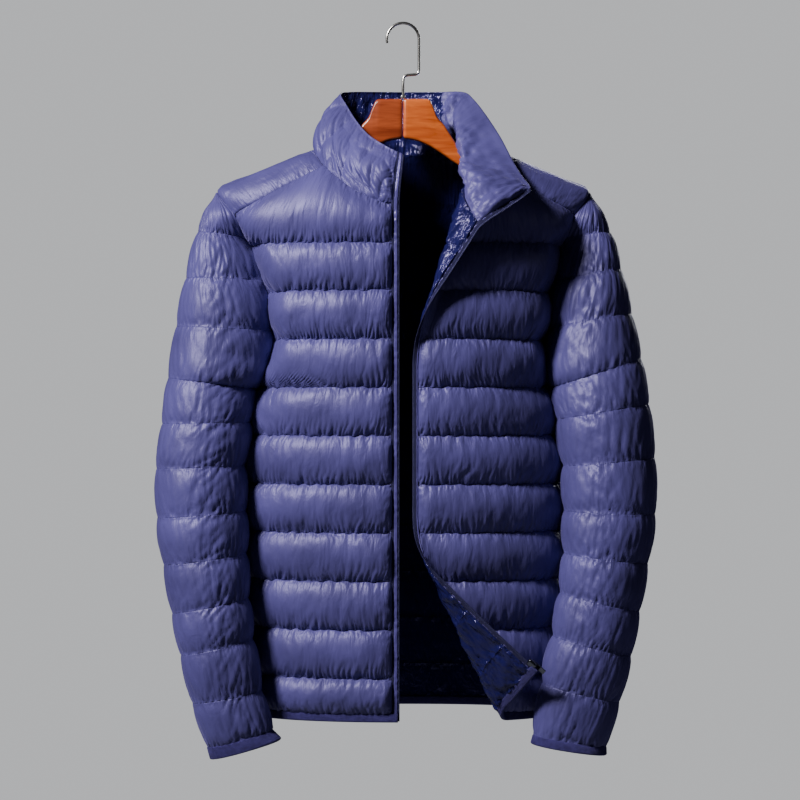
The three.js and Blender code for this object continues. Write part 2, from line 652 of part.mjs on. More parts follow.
function sleeve(side) {
  const table = side === RIGHT ? SLEEVE_RIGHT : SLEEVE_LEFT;
  const rows = rowsOf(0, CUFF_ROW, BACK_STEPS);
  const places = rows.map((row) => {
    if (row > ARMPIT_ROW) {
      return SLEEVE_TURNS.map((turn) => insetPlace(side, table, row, turn, SLEEVE_INSET));
    }
    const inset = SLEEVE_INSET * Math.min(row, 1);
    const front = armholeSeam(side, row, true).place;
    const back = armholeSeam(side, row, false).place;
    const rising = mix(CAP_REACH.head, CAP_REACH.foot, smooth(clamp01(row / ARMPIT_ROW)));
    const reach = row < ARMPIT_ROW ? rising : 1;
    return SLEEVE_TURNS.map((turn) => {
      const point = insetPlace(side, table, row, turn * reach, inset);
      const end = insetPlace(side, table, row, Math.sign(turn) * reach, inset);
      const seam = turn < 0 ? front : back;
      return point.addScaledVector(seam.clone().sub(end), Math.abs(turn) ** CAP_REACH.power);
    });
  });
  const wrapped = (i) => rows[i] >= ARMPIT_ROW;
  const normals = gridNormals(places, wrapped, side === RIGHT ? 1 : -1);
  const wall = new Wall();
  const ids = rows.map((row, i) => {
    const made = SLEEVE_TURNS.map((turn, j) => {
      const atSeam = Math.abs(turn) === 1 && row <= ARMPIT_ROW;
      const normal = atSeam ? armholeSeam(side, row, turn < 0).normal : normals[i][j];
      const puff = atSeam ? 0 : SLEEVE_PUFF * sleeveBand(row) * capRise(row, turn);
      const outer = places[i][j].clone().addScaledVector(normal, WALL + puff);
      return wall.place(outer, places[i][j]);
    });
    if (wrapped(i)) made[made.length - 1] = made[0];
    return made;
  });
  wall.addGrid(ids, BACK_STEPS.length);
  return wall.geometry();
}

// The height of a sleeve's baffles down its length; the first one starts full at the shoulder
function sleeveBand(row) {
  if (row >= 1) return crown(row % 1);
  return edgeRise(row, HEAD_RISE) * crown(mix(0.5, 1, row));
}

// How far the puffs have risen from the armhole seam, and from the armpit below it
function capRise(row, turn) {
  const fromSeam = 1 - Math.abs(turn);
  if (row < ARMPIT_ROW) return edgeRise(fromSeam * SEAM_RISE, 1);
  return edgeRise(fromSeam * SEAM_RISE + (row - ARMPIT_ROW) + ARMPIT_RISE, 1);
}

// A sleeve section drawn in from the measured outline to the cloth's inner face
function insetPlace(side, table, row, turn, inset) {
  const outer = sleevePlace(side, table, row, turn);
  const middle = sleevePlace(side, table, row, 0).lerp(sleevePlace(side, table, row, 1), 0.5);
  const radius = outer.clone().sub(middle);
  const length = Math.max(radius.length(), 1);
  return middle.addScaledVector(radius, Math.max(LEAST_RADIUS, 1 - inset / length));
}

function cuffBinding(side) {
  const table = side === RIGHT ? SLEEVE_RIGHT : SLEEVE_LEFT;
  const wall = new Wall();
  const middle = SLEEVE_INSET - WALL / 2;
  const ids = [0.03, 0.5, 1].map((row) => {
    const swell = row === 0.5 ? BINDING_THICK / 2 : BINDING_THICK / 2 - BINDING_ROUND;
    const made = SLEEVE_TURNS.slice(0, -1).map((turn) =>
      wall.place(
        insetPlace(side, table, CUFF_ROW + row, turn, middle - swell),
        insetPlace(side, table, CUFF_ROW + row, turn, middle + swell),
      ),
    );
    made.push(made[0]);
    return made;
  });
  wall.addGrid(ids, 1);
  return wall.geometry();
}

// A binding round the lower edge of a panel, from places above and below and outward directions
function bandAlong(edges) {
  const wall = new Wall();
  const ids = [0, 0.5, 1].map((share) =>
    edges.map(({ top, bottom, normal }) => {
      const middle = top.clone().lerp(bottom, share);
      const swell = share === 0.5 ? BINDING_THICK / 2 : BINDING_THICK / 2 - BINDING_ROUND;
      const centre = middle.addScaledVector(normal, BINDING_OUT);
      return wall.place(
        centre.clone().addScaledVector(normal, swell),
        centre.clone().addScaledVector(normal, -swell),
      );
    }),
  );
  wall.addGrid(ids, 1);
  return wall.geometry();
}

function hemBindingFront(side) {
  const columns = side === RIGHT ? FRONT_COLUMNS : FOLDED_COLUMNS;
  const rows = [HEM_SEAM_Z - SEAM_GAP, HEM_BOTTOM_Z].map((z) =>
    columns.map((share) => {
      const { x } = frontPlace(side, share, BAFFLES + 1);
      return frontPoint(side, side * x, z);
    }),
  );
  const normals = gridNormals(rows, () => false, side === RIGHT ? 1 : -1);
  const edges = columns.map((_, j) => ({ top: rows[0][j], bottom: rows[1][j], normal: normals[0][j] }));
  edges[edges.length - 1].top.y -= SEAM_GAP / 2;
  edges[edges.length - 1].bottom.y -= SEAM_GAP / 2;
  return bandAlong(edges);
}

function hemBindingBack() {
  const columns = [...BACK_COLUMNS.slice(1).reverse().map((share) => -share), ...BACK_COLUMNS];
  const rows = [HEM_SEAM_Z - SEAM_GAP, HEM_BOTTOM_Z].map((z) =>
    columns.map((share) => {
      const { x } = backPlace(share, BAFFLES + 2);
      const atSeam = Math.abs(share) === 1 ? SEAM_GAP / 2 : 0;
      return new THREE.Vector3(x, torsoY(x, z, false) + atSeam, z);
    }),
  );
  const normals = gridNormals(rows, () => false, 1);
  const edges = columns.map((_, j) => ({ top: rows[0][j], bottom: rows[1][j], normal: normals[0][j] }));
  return bandAlong(edges);
}

// The neck seam's place for a collar station
function neckSeam({ back, seam }) {
  if (back !== undefined) {
    const z = neckBackZ(back);
    return new THREE.Vector3(back, torsoY(back, z, false), z);
  }
  return frontPoint(seam < 0 ? RIGHT : LEFT, seam, along(NECK_FRONT, "x", "z", Math.abs(seam)));
}

const COLLAR_SHARES = [0, 0.12, 0.32, 0.5, 0.7, 0.9, 1];
const COLLAR_STEP = 0.5;
// From the neck seam up to the collar's lower edge, clear of the panels' thickness
const COLLAR_LIFT = WALL + SEAM_GAP * 4;

function collarPlace(at, share) {
  const seams = COLLAR.map((station) => {
    const { x, y, z } = neckSeam(station);
    return { x, y, z };
  });
  const seam = new THREE.Vector3(
    alongRows(seams, "x", at),
    alongRows(seams, "y", at),
    alongRows(seams, "z", at),
  );
  const point = (name) =>
    new THREE.Vector3(
      alongRows(COLLAR, name + "X", at),
      alongRows(COLLAR, name + "Y", at),
      alongRows(COLLAR, name + "Z", at),
    );
  const middle = point("mid");
  const top = point("top");
  seam.add(middle.clone().sub(seam).setLength(COLLAR_LIFT));
  const a = (1 - share) * (1 - 2 * share);
  const b = 4 * share * (1 - share);
  const c = share * (2 * share - 1);
  return seam.multiplyScalar(a).addScaledVector(middle, b).addScaledVector(top, c);
}

function collarStations() {
  const stations = [];
  for (let at = 0; at <= COLLAR.length - 1 + 1e-6; at += COLLAR_STEP) stations.push(at);
  return stations;
}

function collar() {
  const stations = collarStations();
  const places = COLLAR_SHARES.map((share) => stations.map((at) => collarPlace(at, share)));
  const normals = gridNormals(places, () => false, -1);
  const wall = new Wall();
  const ids = COLLAR_SHARES.map((share, i) =>
    stations.map((at, j) => {
      const fromEnd = Math.min(at, COLLAR.length - 1 - at);
      const puff = COLLAR_PUFF * Math.sin(Math.PI * share) * edgeRise(fromEnd, 1);
      const outer = places[i][j].clone().addScaledVector(normals[i][j], WALL + puff);
      return wall.place(outer, places[i][j]);
    }),
  );
  wall.addGrid(ids, 1);
  return wall.geometry();
}

// A bar of constant section along places, each with a sideways and an outward direction
function bar(spine, width, thick) {
  const corners = [
    [0, 0],
    [1, 0],
    [1, 1],
    [0, 1],
  ];
  const rings = spine.map(({ place, across, normal }) =>
    corners.map(([u, v]) =>
      place.clone().addScaledVector(across, TAPE_GAP + u * width).addScaledVector(normal, v * thick),
    ),
  );
  return solidFromRings(rings);
}

function solidFromRings(rings) {
  const positions = [];
  const push = (...points) => points.forEach((p) => positions.push(p.x, p.y, p.z));
  const sides = rings[0].length;
  for (let i = 0; i + 1 < rings.length; i += 1) {
    for (let j = 0; j < sides; j += 1) {
      const k = (j + 1) % sides;
      push(rings[i][j], rings[i + 1][k], rings[i][k]);
      push(rings[i][j], rings[i + 1][j], rings[i + 1][k]);
    }
  }
  const last = rings[rings.length - 1];
  for (let j = 1; j + 1 < sides; j += 1) {
    push(rings[0][0], rings[0][j], rings[0][j + 1]);
    push(last[0], last[j + 1], last[j]);
  }
  const geometry = new THREE.BufferGeometry();
  geometry.setAttribute("position", new THREE.Float32BufferAttribute(positions, 3));
  return facingOut(geometry);
}

function signedVolume(geometry) {
  const p = geometry.getAttribute("position");
  const corner = (i) => new THREE.Vector3().fromBufferAttribute(p, i);
  let volume = 0;
  for (let i = 0; i < p.count; i += 3) volume += corner(i).dot(corner(i + 1).cross(corner(i + 2)));
  return volume / 6;
}

// Turns a closed surface's faces outwards if they point in
function facingOut(geometry) {
  const p = geometry.getAttribute("position");
  if (signedVolume(geometry) < 0) {
    for (let i = 0; i < p.count; i += 3) {
      const b = new THREE.Vector3().fromBufferAttribute(p, i + 1);
      const c = new THREE.Vector3().fromBufferAttribute(p, i + 2);
      p.setXYZ(i + 1, c.x, c.y, c.z);
      p.setXYZ(i + 2, b.x, b.y, b.z);
    }
  }
  geometry.computeVertexNormals();
  return geometry;
}

const ZIP_ROWS = rowsOf(0, BAFFLES + 1, QUILT_STEPS).reverse();
// The tape passes the neck seam this many rows below it; slopes are taken over these steps
const NECK_PASS_ROW = 0.1;
const EDGE_STEP = { side: 2, down: 2, station: 0.2, share: 0.05 };

// Zip tape along a front's edge and up the collar's end, as one strip
function zipSpine(side) {
  const body = ZIP_ROWS.map((row) => {
    const flat = frontPlace(side, 0, Math.max(row, NECK_PASS_ROW));
    const z = row === BAFFLES + 1 ? HEM_BOTTOM_Z + SLIDER.length : flat.z;
    const at = frontPoint(side, side * flat.x, z);
    const inside = frontPoint(side, side * (flat.x + EDGE_STEP.side), z);
    const below = frontPoint(side, side * flat.x, z - EDGE_STEP.down);
    const across = at.clone().sub(inside).normalize();
    const normal = below.sub(at).cross(across).normalize().multiplyScalar(-side);
    return { place: at, across, normal };
  });
  const end = side === RIGHT ? 0 : COLLAR.length - 1;
  const inwards = side === RIGHT ? EDGE_STEP.station : -EDGE_STEP.station;
  const collarPart = COLLAR_SHARES.slice(1).map((share) => {
    const at = collarPlace(end, share);
    const across = at.clone().sub(collarPlace(end + inwards, share)).normalize();
    const next = collarPlace(end, share - EDGE_STEP.share);
    const normal = next.sub(at).cross(across).normalize().multiplyScalar(-side);
    return { place: at, across, normal };
  });
  return [...body, ...collarPart];
}

function zipTape(side) {
  return bar(zipSpine(side), side === RIGHT ? TAPE_WIDTH_RIGHT : TAPE_WIDTH_LEFT, TAPE_THICK);
}

// The axes at the foot of the left zip: along it downwards, across it outwards, and out of the shell
function zipFoot() {
  const [foot, above] = zipSpine(LEFT);
  const down = foot.place.clone().sub(above.place).normalize();
  const across = foot.across.clone().addScaledVector(down, -foot.across.dot(down)).normalize();
  const out = new THREE.Vector3().crossVectors(down, across).normalize();
  if (out.dot(foot.normal) < 0) out.negate();
  const centre = foot.place
    .clone()
    .addScaledVector(across, TAPE_GAP + TAPE_WIDTH_LEFT)
    .addScaledVector(foot.normal, TAPE_THICK / 2);
  return { down, across, out, centre };
}

const wasm = await Module();
wasm.setup();

function solidOf(geometry) {
  const bare = geometry.index ? geometry.toNonIndexed() : geometry.clone();
  bare.deleteAttribute("normal");
  bare.deleteAttribute("uv");
  const merged = mergeVertices(bare, 1e-4);
  return new wasm.Manifold(
    new wasm.Mesh({
      numProp: 3,
      vertProperties: merged.attributes.position.array,
      triVerts: new Uint32Array(merged.index.array),
    }),
  );
}

function geometryOf(solid) {
  const mesh = solid.getMesh();
  const geometry = new THREE.BufferGeometry();
  geometry.setAttribute("position", new THREE.Float32BufferAttribute(mesh.vertProperties, 3));
  geometry.setIndex(new THREE.Uint32BufferAttribute(mesh.triVerts, 1));
  geometry.computeVertexNormals();
  return geometry;
}

// A block in the zip foot's axes: x across, y out of the shell, z down the zip
function block(wide, tall, long, x, y, z) {
  const box = new THREE.BoxGeometry(wide, tall, long);
  box.translate(x, y, z);
  return solidOf(box);
}

function inFootFrame(geometry, foot) {
  const axes = new THREE.Matrix4().makeBasis(foot.across, foot.out, foot.down);
  axes.setPosition(foot.centre);
  const bare = geometry.index ? geometry.toNonIndexed() : geometry;
  return facingOut(bare.applyMatrix4(axes));
}

const SLIDER_TOP = SLIDER.slot / 2 + SLIDER.plate;

// The slider sits a little beyond the tape's edge; its slot lets the tape in from one side and above
function slider(foot) {
  const { length, width, slot, plate, beyond, slotX, slotZ } = SLIDER;
  const outer = block(width, slot + 2 * plate, length, beyond, 0, 0);
  const tapeSlot = block(width, slot, length - 2 * slotZ, slotX, 0, slotZ);
  const { bar: barThick, sunk } = BRIDGE;
  const archY = SLIDER_TOP + BRIDGE.height / 2 - sunk;
  const arch = block(BRIDGE.width, BRIDGE.height, BRIDGE.length, beyond, archY, 0);
  const openHeight = BRIDGE.height - barThick;
  const openY = SLIDER_TOP + openHeight / 2;
  const window = block(2 * BRIDGE.width, openHeight, BRIDGE.length - 2 * barThick, beyond, openY, 0);
  return inFootFrame(geometryOf(outer.subtract(tapeSlot).add(arch.subtract(window))), foot);
}

// The pull tab lies down the zip, its crossbar under the slider's bridge
function pullTab(foot) {
  const { length, width, thick, window, bar: barThick, lift } = PULL;
  const y = SLIDER_TOP + lift + thick / 2;
  const start = -barThick / 2;
  const x = SLIDER.beyond;
  const plate = block(width, thick, length, x, y, start + length / 2);
  const opening = block(width - 2 * barThick, 2 * thick, window, x, y, start + barThick + window / 2);
  return inFootFrame(geometryOf(plate.subtract(opening)), foot);
}

function insertionPin() {
  const pin = new THREE.CylinderGeometry(PIN.radius, PIN.radius, PIN.length, PIN.sides);
  pin.rotateX(Math.PI / 2);
  const x = RIGHT_EDGE_X + TAPE_WIDTH_RIGHT - PIN.inside;
  const y = torsoY(x, HEM_BOTTOM_Z, true) - TAPE_THICK / 2;
  pin.translate(x, y, HEM_BOTTOM_Z + SLIDER.length - PIN.length / 2 - SEAM_GAP);
  return pin;
}

function hangerHalf(side) {
  const outline = [...HANGER_UPPER, ...HANGER_LOWER];
  const nearest = SEAM_GAP / 2 + HANGER_BEVEL;
  const shape = new THREE.Shape(
    outline.map(({ x, z }) => new THREE.Vector2(side * Math.max(x, nearest), z)),
  );
  const geometry = new THREE.ExtrudeGeometry(shape, {
    depth: HANGER_THICK - 2 * HANGER_BEVEL,
    bevelEnabled: true,
    bevelThickness: HANGER_BEVEL,
    bevelSize: HANGER_BEVEL,
    bevelOffset: -HANGER_BEVEL,
    bevelSegments: 2,
  });
  geometry.translate(0, 0, HANGER_BEVEL - HANGER_THICK / 2);
  geometry.rotateX(Math.PI / 2);
  return geometry;
}

// The hook's wire, from its tip over the crown and down the shank
class HookPath extends THREE.Curve {
  constructor() {
    super();
    const start = THREE.MathUtils.degToRad(HOOK_ARC_TURN);
    const points = [];
    for (let i = 0; i <= HOOK_ARC_STEPS; i += 1) {
      const angle = start * (1 - i / HOOK_ARC_STEPS);
      points.push(
        new THREE.Vector3(HOOK_ARC * Math.cos(angle), 0, HOOK_CENTRE_Z + HOOK_ARC * Math.sin(angle)),
      );
    }
    points.push(...HOOK_SHANK.map(({ x, z }) => new THREE.Vector3(x, 0, z)));
    this.line = new THREE.CatmullRomCurve3(points, false, "centripetal");
  }
  getPoint(t, target = new THREE.Vector3()) {
    return this.line.getPoint(t, target);
  }
}

function hook() {
  const section = new THREE.Shape();
  section.absarc(0, 0, HOOK_RADIUS, 0, Math.PI * 2, false);
  const wire = new THREE.ExtrudeGeometry(section, {
    steps: 34,
    curveSegments: 4,
    extrudePath: new HookPath(),
  });
  const ferrule = new THREE.CylinderGeometry(FERRULE.radius, FERRULE.radius, FERRULE.height, 14);
  ferrule.rotateX(Math.PI / 2);
  ferrule.translate(0, 0, HOOK_FOOT_Z + FERRULE.height / 2);
  return geometryOf(solidOf(facingOut(wire)).add(solidOf(ferrule)));
}

function cloth(colour, roughness) {
  return new THREE.MeshStandardMaterial({ color: colour, roughness, metalness: 0 });
}
const shell = cloth(0x4a4d80, 0.45);
const trim = cloth(0x3b3a6e, 0.7);
const tape = cloth(0x25274a, 0.8);
const metal = new THREE.MeshStandardMaterial({ color: 0xb9bcc2, roughness: 0.3, metalness: 1 });
const wood = new THREE.MeshStandardMaterial({ color: 0xa04a1e, roughness: 0.45, metalness: 0 });

const jacket = new THREE.Group();
function add(name, geometry, material) {
  const mesh = new THREE.Mesh(geometry, material.clone());
  mesh.name = name;
  jacket.add(mesh);
}

const foot = zipFoot();
add("front_right", frontPanel(RIGHT), shell);
add("front_left", frontPanel(LEFT), shell);
add("back", backPanel(), shell);
add("sleeve_right", sleeve(RIGHT), shell);
add("sleeve_left", sleeve(LEFT), shell);
add("collar", collar(), shell);
add("hem_binding_right", hemBindingFront(RIGHT), trim);
add("hem_binding_back", hemBindingBack(), trim);
add("hem_binding_left", hemBindingFront(LEFT), trim);
add("cuff_binding_right", cuffBinding(RIGHT), trim);
add("cuff_binding_left", cuffBinding(LEFT), trim);
add("zip_tape_right", zipTape(RIGHT), tape);
add("zip_tape_left", zipTape(LEFT), tape);
add("zip_pin", insertionPin(), metal);
add("zip_slider", slider(foot), metal);
add("zip_pull", pullTab(foot), metal);
add("hanger_right", hangerHalf(RIGHT), wood);
add("hanger_left", hangerHalf(LEFT), wood);
add("hook", hook(), metal);

export default jacket;
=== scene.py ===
"""Puffer jacket hanging open on a wooden hanger.

Lengths are worked out in millimetres and turned to metres where a mesh is built. +X is the
wearer's left, +Y the jacket's back, +Z up. The origin is the inner top of the hook's crown.
"""
import json
import logging
import math
from dataclasses import dataclass
from enum import Enum
from typing import NamedTuple, Sequence

import bpy
import numpy as np
from mathutils import Matrix, Vector


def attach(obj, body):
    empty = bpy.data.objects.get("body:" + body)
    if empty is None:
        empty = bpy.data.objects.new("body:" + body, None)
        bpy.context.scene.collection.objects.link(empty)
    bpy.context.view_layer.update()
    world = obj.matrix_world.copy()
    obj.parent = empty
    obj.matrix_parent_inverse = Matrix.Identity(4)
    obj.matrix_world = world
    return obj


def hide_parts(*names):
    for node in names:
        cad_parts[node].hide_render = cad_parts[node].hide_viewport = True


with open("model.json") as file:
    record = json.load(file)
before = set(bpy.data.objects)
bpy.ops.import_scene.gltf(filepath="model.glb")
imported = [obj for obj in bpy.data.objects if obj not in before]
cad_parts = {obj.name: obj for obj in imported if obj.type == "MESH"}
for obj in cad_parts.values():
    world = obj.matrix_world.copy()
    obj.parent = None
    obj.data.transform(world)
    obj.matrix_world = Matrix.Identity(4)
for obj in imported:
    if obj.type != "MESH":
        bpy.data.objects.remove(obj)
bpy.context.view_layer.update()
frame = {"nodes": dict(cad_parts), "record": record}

logging.basicConfig(level=logging.INFO, format="%(message)s")
LOG = logging.getLogger("jacket")
Array = np.ndarray
MM = 0.001

# Cloth and quilting
WALL = 1.6
SEAM_GAP = 0.4
BODY_PUFF = 11
YOKE_PUFF = 7
SLEEVE_PUFF = 5
COLLAR_PUFF = 5
PUFF_POWER = 0.62
LINING_PUFF = 2.4

# Levels of the body
FIRST_LINE_Z = -277.8
BAFFLE_HEIGHT = 58.8
HEM_SEAM_Z = -850.2
HEM_BOTTOM_Z = -859.2
BACK_YOKE_LINE_Z = -219
SHOULDER_END_Z = -238
VALLEY_FRONT = 36
VALLEY_BACK = 7
ARMPIT_Z = -454.2
BAFFLES = 10

# Shoulder line and torso section
NECK_SIDE_X = 110
NECK_SIDE_Z = -163
SHOULDER_SLOPE = 0.42
SHOULDER_TIP_X = 231
SHOULDER_ROUND = 110
SECTION_POWER = 2.2
NECK_SHARE = NECK_SIDE_X / SHOULDER_TIP_X
NECK_BACK_Z = -158
NECK_BACK_DROP = 5

# Front edges and zip
RIGHT_EDGE_X = -13.4
LEFT_EDGE_X = 18.3
TAPE_WIDTH_RIGHT = 8.6
TAPE_WIDTH_LEFT = 6.6
TAPE_THICK = 1.6
TAPE_GAP = 0.6
BINDING_THICK = 4.6
SLIDER_LENGTH = 12
SLIDER_WIDTH = 8.5


class Side(Enum):
    """A side of the wearer, as the sign of its X."""

    RIGHT = -1
    LEFT = 1

    @property
    def word(self) -> str:
        """The side's name in a piece's name."""
        return self.name.lower()


class Section(NamedTuple):
    """The torso at a level: half width and depths of the cloth's inner face."""

    z: float
    half: float
    front: float
    back: float


TORSO = (
    Section(-100, 250, 44, 64),
    Section(-206, 250, 72, 74),
    Section(-241, 226, 80, 76),
    Section(-277, 209, 84, 78),
    Section(-330, 197, 88, 80),
    Section(-385, 189, 90, 80),
    Section(-454.2, 178, 92, 80),
    Section(-480, 184, 92, 80),
    Section(-512, 190, 93, 79),
    Section(-560, 194.5, 93, 78),
    Section(-620, 195.5, 93, 77),
    Section(-700, 194, 93, 74),
    Section(-870, 190, 93, 72),
)


class Station(NamedTuple):
    """A place on a seam drawn from the front: level and distance from the centre plane."""

    z: float
    x: float


ARMHOLE_FRONT = {
    Side.RIGHT: (
        Station(-213.8, 231), Station(-241, 207), Station(-273, 192), Station(-302, 178),
        Station(-339, 168), Station(-385, 162), Station(-425, 164), Station(-454.2, 178),
    ),
    Side.LEFT: (
        Station(-213.8, 231), Station(-241, 212), Station(-275, 198), Station(-322, 186),
        Station(-375, 180), Station(-425, 174), Station(-454.2, 178),
    ),
}
ARMHOLE_BACK = (
    Station(-213.8, 231), Station(-241, 214), Station(-275, 200), Station(-322, 189),
    Station(-375, 180), Station(-425, 175), Station(-454.2, 178),
)
NECK_FRONT = (
    Station(-238, 0), Station(-236, 12), Station(-226.2, 38.5), Station(-216.9, 58),
    Station(-201.5, 78), Station(-183.6, 97), Station(-170, 107), Station(-163, 110),
)


class YokeSeam(NamedTuple):
    """The forward shoulder seam's ends."""

    neck_x: float
    neck_z: float
    arm_x: float
    arm_z: float


YOKE = {
    Side.RIGHT: YokeSeam(97, -183.6, 207, -241),
    Side.LEFT: YokeSeam(97, -183.6, 212, -241),
}


class Fold(NamedTuple):
    """A fold of the left front: a point on it, its direction, and its roll."""

    x: float
    z: float
    along_x: float
    along_z: float
    radius: float
    turn: float


FOLDS = (
    Fold(13.1, -403, 0.3016, 0.9534, 14, 148),
    Fold(17.9, -647, 0.413, -0.911, 16, 142),
)


class TubeRow(NamedTuple):
    """A sleeve's quilt line: outer end, inner end, middle depth and half depth."""

    out_x: float
    out_z: float
    in_x: float
    in_z: float
    y: float
    deep: float


SLEEVE_ROWS = {
    Side.RIGHT: (
        TubeRow(232.5, -211.5, 226, -214, 0, 8),
        TubeRow(259, -259.6, 183, -270, 1, 50),
        TubeRow(273.5, -318, 172, -322, -2, 60),
        TubeRow(285, -378, 172, -384, -6, 62),
        TubeRow(294, -442, 182, -454, -20, 62),
        TubeRow(300, -499, 185, -497, -32, 59),
        TubeRow(306, -553.6, 191.5, -550, -42, 57),
        TubeRow(304, -614, 190, -605, -52, 55),
        TubeRow(295, -671, 189, -656.5, -61, 52),
        TubeRow(284, -729.4, 186, -710, -69, 48),
        TubeRow(272.7, -779.7, 180, -759, -77, 43),
        TubeRow(258, -836.7, 169, -821, -84, 35),
        TubeRow(239, -890.7, 155, -869, -88, 28),
        TubeRow(235.5, -902.8, 143, -881, -89, 27),
    ),
    Side.LEFT: (
        TubeRow(232.5, -211.5, 226, -214, 0, 8),
        TubeRow(261, -259.6, 184, -272, 1, 50),
        TubeRow(274.6, -307, 176, -319, -2, 60),
        TubeRow(287.5, -362.7, 176, -374, -6, 62),
        TubeRow(297.5, -417, 182, -454, -20, 61),
        TubeRow(306, -473.8, 186, -494, -32, 59),
        TubeRow(312.2, -540, 194, -551, -42, 57),
        TubeRow(311.5, -609, 194.5, -605, -52, 55),
        TubeRow(301.6, -669, 194, -656, -61, 52),
        TubeRow(290.6, -727, 188.6, -703.4, -69, 48),
        TubeRow(279.6, -781, 179, -755, -77, 43),
        TubeRow(265, -835.4, 166, -812, -84, 35),
        TubeRow(248, -889.5, 155, -875, -88, 28),
        TubeRow(248, -900.4, 152.5, -884, -89, 27),
    ),
}
CAP_LEVELS = (-213.8, -267, -322, -384, ARMPIT_Z)
ARMPIT_ROW = 4
CUFF_ROW = 12
SLEEVE_INSET = WALL + SLEEVE_PUFF * 0.6


class CollarStation(NamedTuple):
    """A collar station: its x on the neck seam, its roll and its top edge."""

    seam_x: float
    on_back: bool
    mid_x: float
    mid_y: float
    mid_z: float
    top_x: float
    top_y: float
    top_z: float


COLLAR = (
    CollarStation(-13.4, False, -11, -77, -202, -6, -61, -167),
    CollarStation(-27, False, -29, -73, -197, -20, -53, -159),
    CollarStation(-46, False, -53, -58, -182, -41, -37, -144),
    CollarStation(-70, False, -73, -40, -163, -57, -14, -124),
    CollarStation(-92, False, -90, -17, -143, -69, 6, -103),
    CollarStation(-110, False, -99, 10, -124, -78, 29, -84),
    CollarStation(-82, True, -79, 38, -117, -68, 47, -78),
    CollarStation(-42, True, -42, 56, -116, -38, 60, -76),
    CollarStation(0, True, 0, 62, -116, 0, 66, -75.5),
    CollarStation(42, True, 40, 55, -115, 42, 62, -76),
    CollarStation(76, True, 62, 38, -112, 76, 52, -77),
    CollarStation(98, True, 66, 18, -124, 89, 36, -88),
    CollarStation(110, False, 70, -2, -141, 105, 14, -112),
    CollarStation(101, False, 74, -24, -162, 122, -17, -144),
    CollarStation(84, False, 80, -52, -184, 137, -48, -179),
    CollarStation(62, False, 98, -82, -203, 147, -68, -198),
    CollarStation(39, False, 111, -103, -222, 153, -82, -208),
    CollarStation(18.3, False, 119, -113, -236, 154, -90, -213),
)


def mix(a: Array, b: Array, share: Array) -> Array:
    """A value between two others."""
    return a + (b - a) * share


def smooth(share: Array) -> Array:
    """An even start and stop between 0 and 1."""
    share = np.clip(share, 0, 1)
    return share * share * (3 - 2 * share)


def along(keys: Sequence[float], values: Sequence[float], at: Array) -> Array:
    """Reads a smooth line through a table's column.

    Args:
        keys: the column that is looked up.
        values: the column that is read.
        at: places along the keys.

    Returns:
        The values there, level with the table's ends beyond them.
    """
    keys, values = np.asarray(keys, float), np.asarray(values, float)
    order = np.argsort(keys)
    keys, values = keys[order], values[order]
    slopes = np.diff(values) / np.diff(keys)
    tangents = np.concatenate([slopes[:1], (slopes[1:] + slopes[:-1]) / 2, slopes[-1:]])
    at = np.clip(at, keys[0], keys[-1])
    i = np.clip(np.searchsorted(keys, at) - 1, 0, len(keys) - 2)
    span = keys[i + 1] - keys[i]
    t = (at - keys[i]) / span
    return (
        (2 * t**3 - 3 * t**2 + 1) * values[i]
        + (t**3 - 2 * t**2 + t) * span * tangents[i]
        + (3 * t**2 - 2 * t**3) * values[i + 1]
        + (t**3 - t**2) * span * tangents[i + 1]
    )


def column(table: Sequence[NamedTuple], name: str) -> Array:
    """One column of a table."""
    return np.array([getattr(row, name) for row in table], float)


def look_up(table: Sequence[NamedTuple], key: str, name: str, at: Array) -> Array:
    """A table's column at places along its key."""
    return along(column(table, key), column(table, name), at)


def by_row(table: Sequence[NamedTuple], name: str, at: Array) -> Array:
    """A table's column at places between its rows."""
    return along(np.arange(len(table)), column(table, name), at)


def unit(vectors: Array) -> Array:
    """Vectors at length 1."""
    return vectors / np.maximum(np.linalg.norm(vectors, axis=-1, keepdims=True), 1e-9)


def stack(x: Array, y: Array, z: Array) -> Array:
    """Points from their coordinates."""
    return np.stack(np.broadcast_arrays(x, y, z), axis=-1).astype(float)


def crown(share: Array) -> Array:
    """The height of a baffle across its width, 0 at its seams and 1 in the middle."""
    return np.sin(np.pi * np.clip(share, 0, 1)) ** PUFF_POWER


def edge_rise(distance: Array, width: float) -> Array:
    """How far a puff has risen at a distance from a sewn edge."""
    return np.sqrt(1 - (1 - np.clip(distance / width, 0, 1)) ** 2)


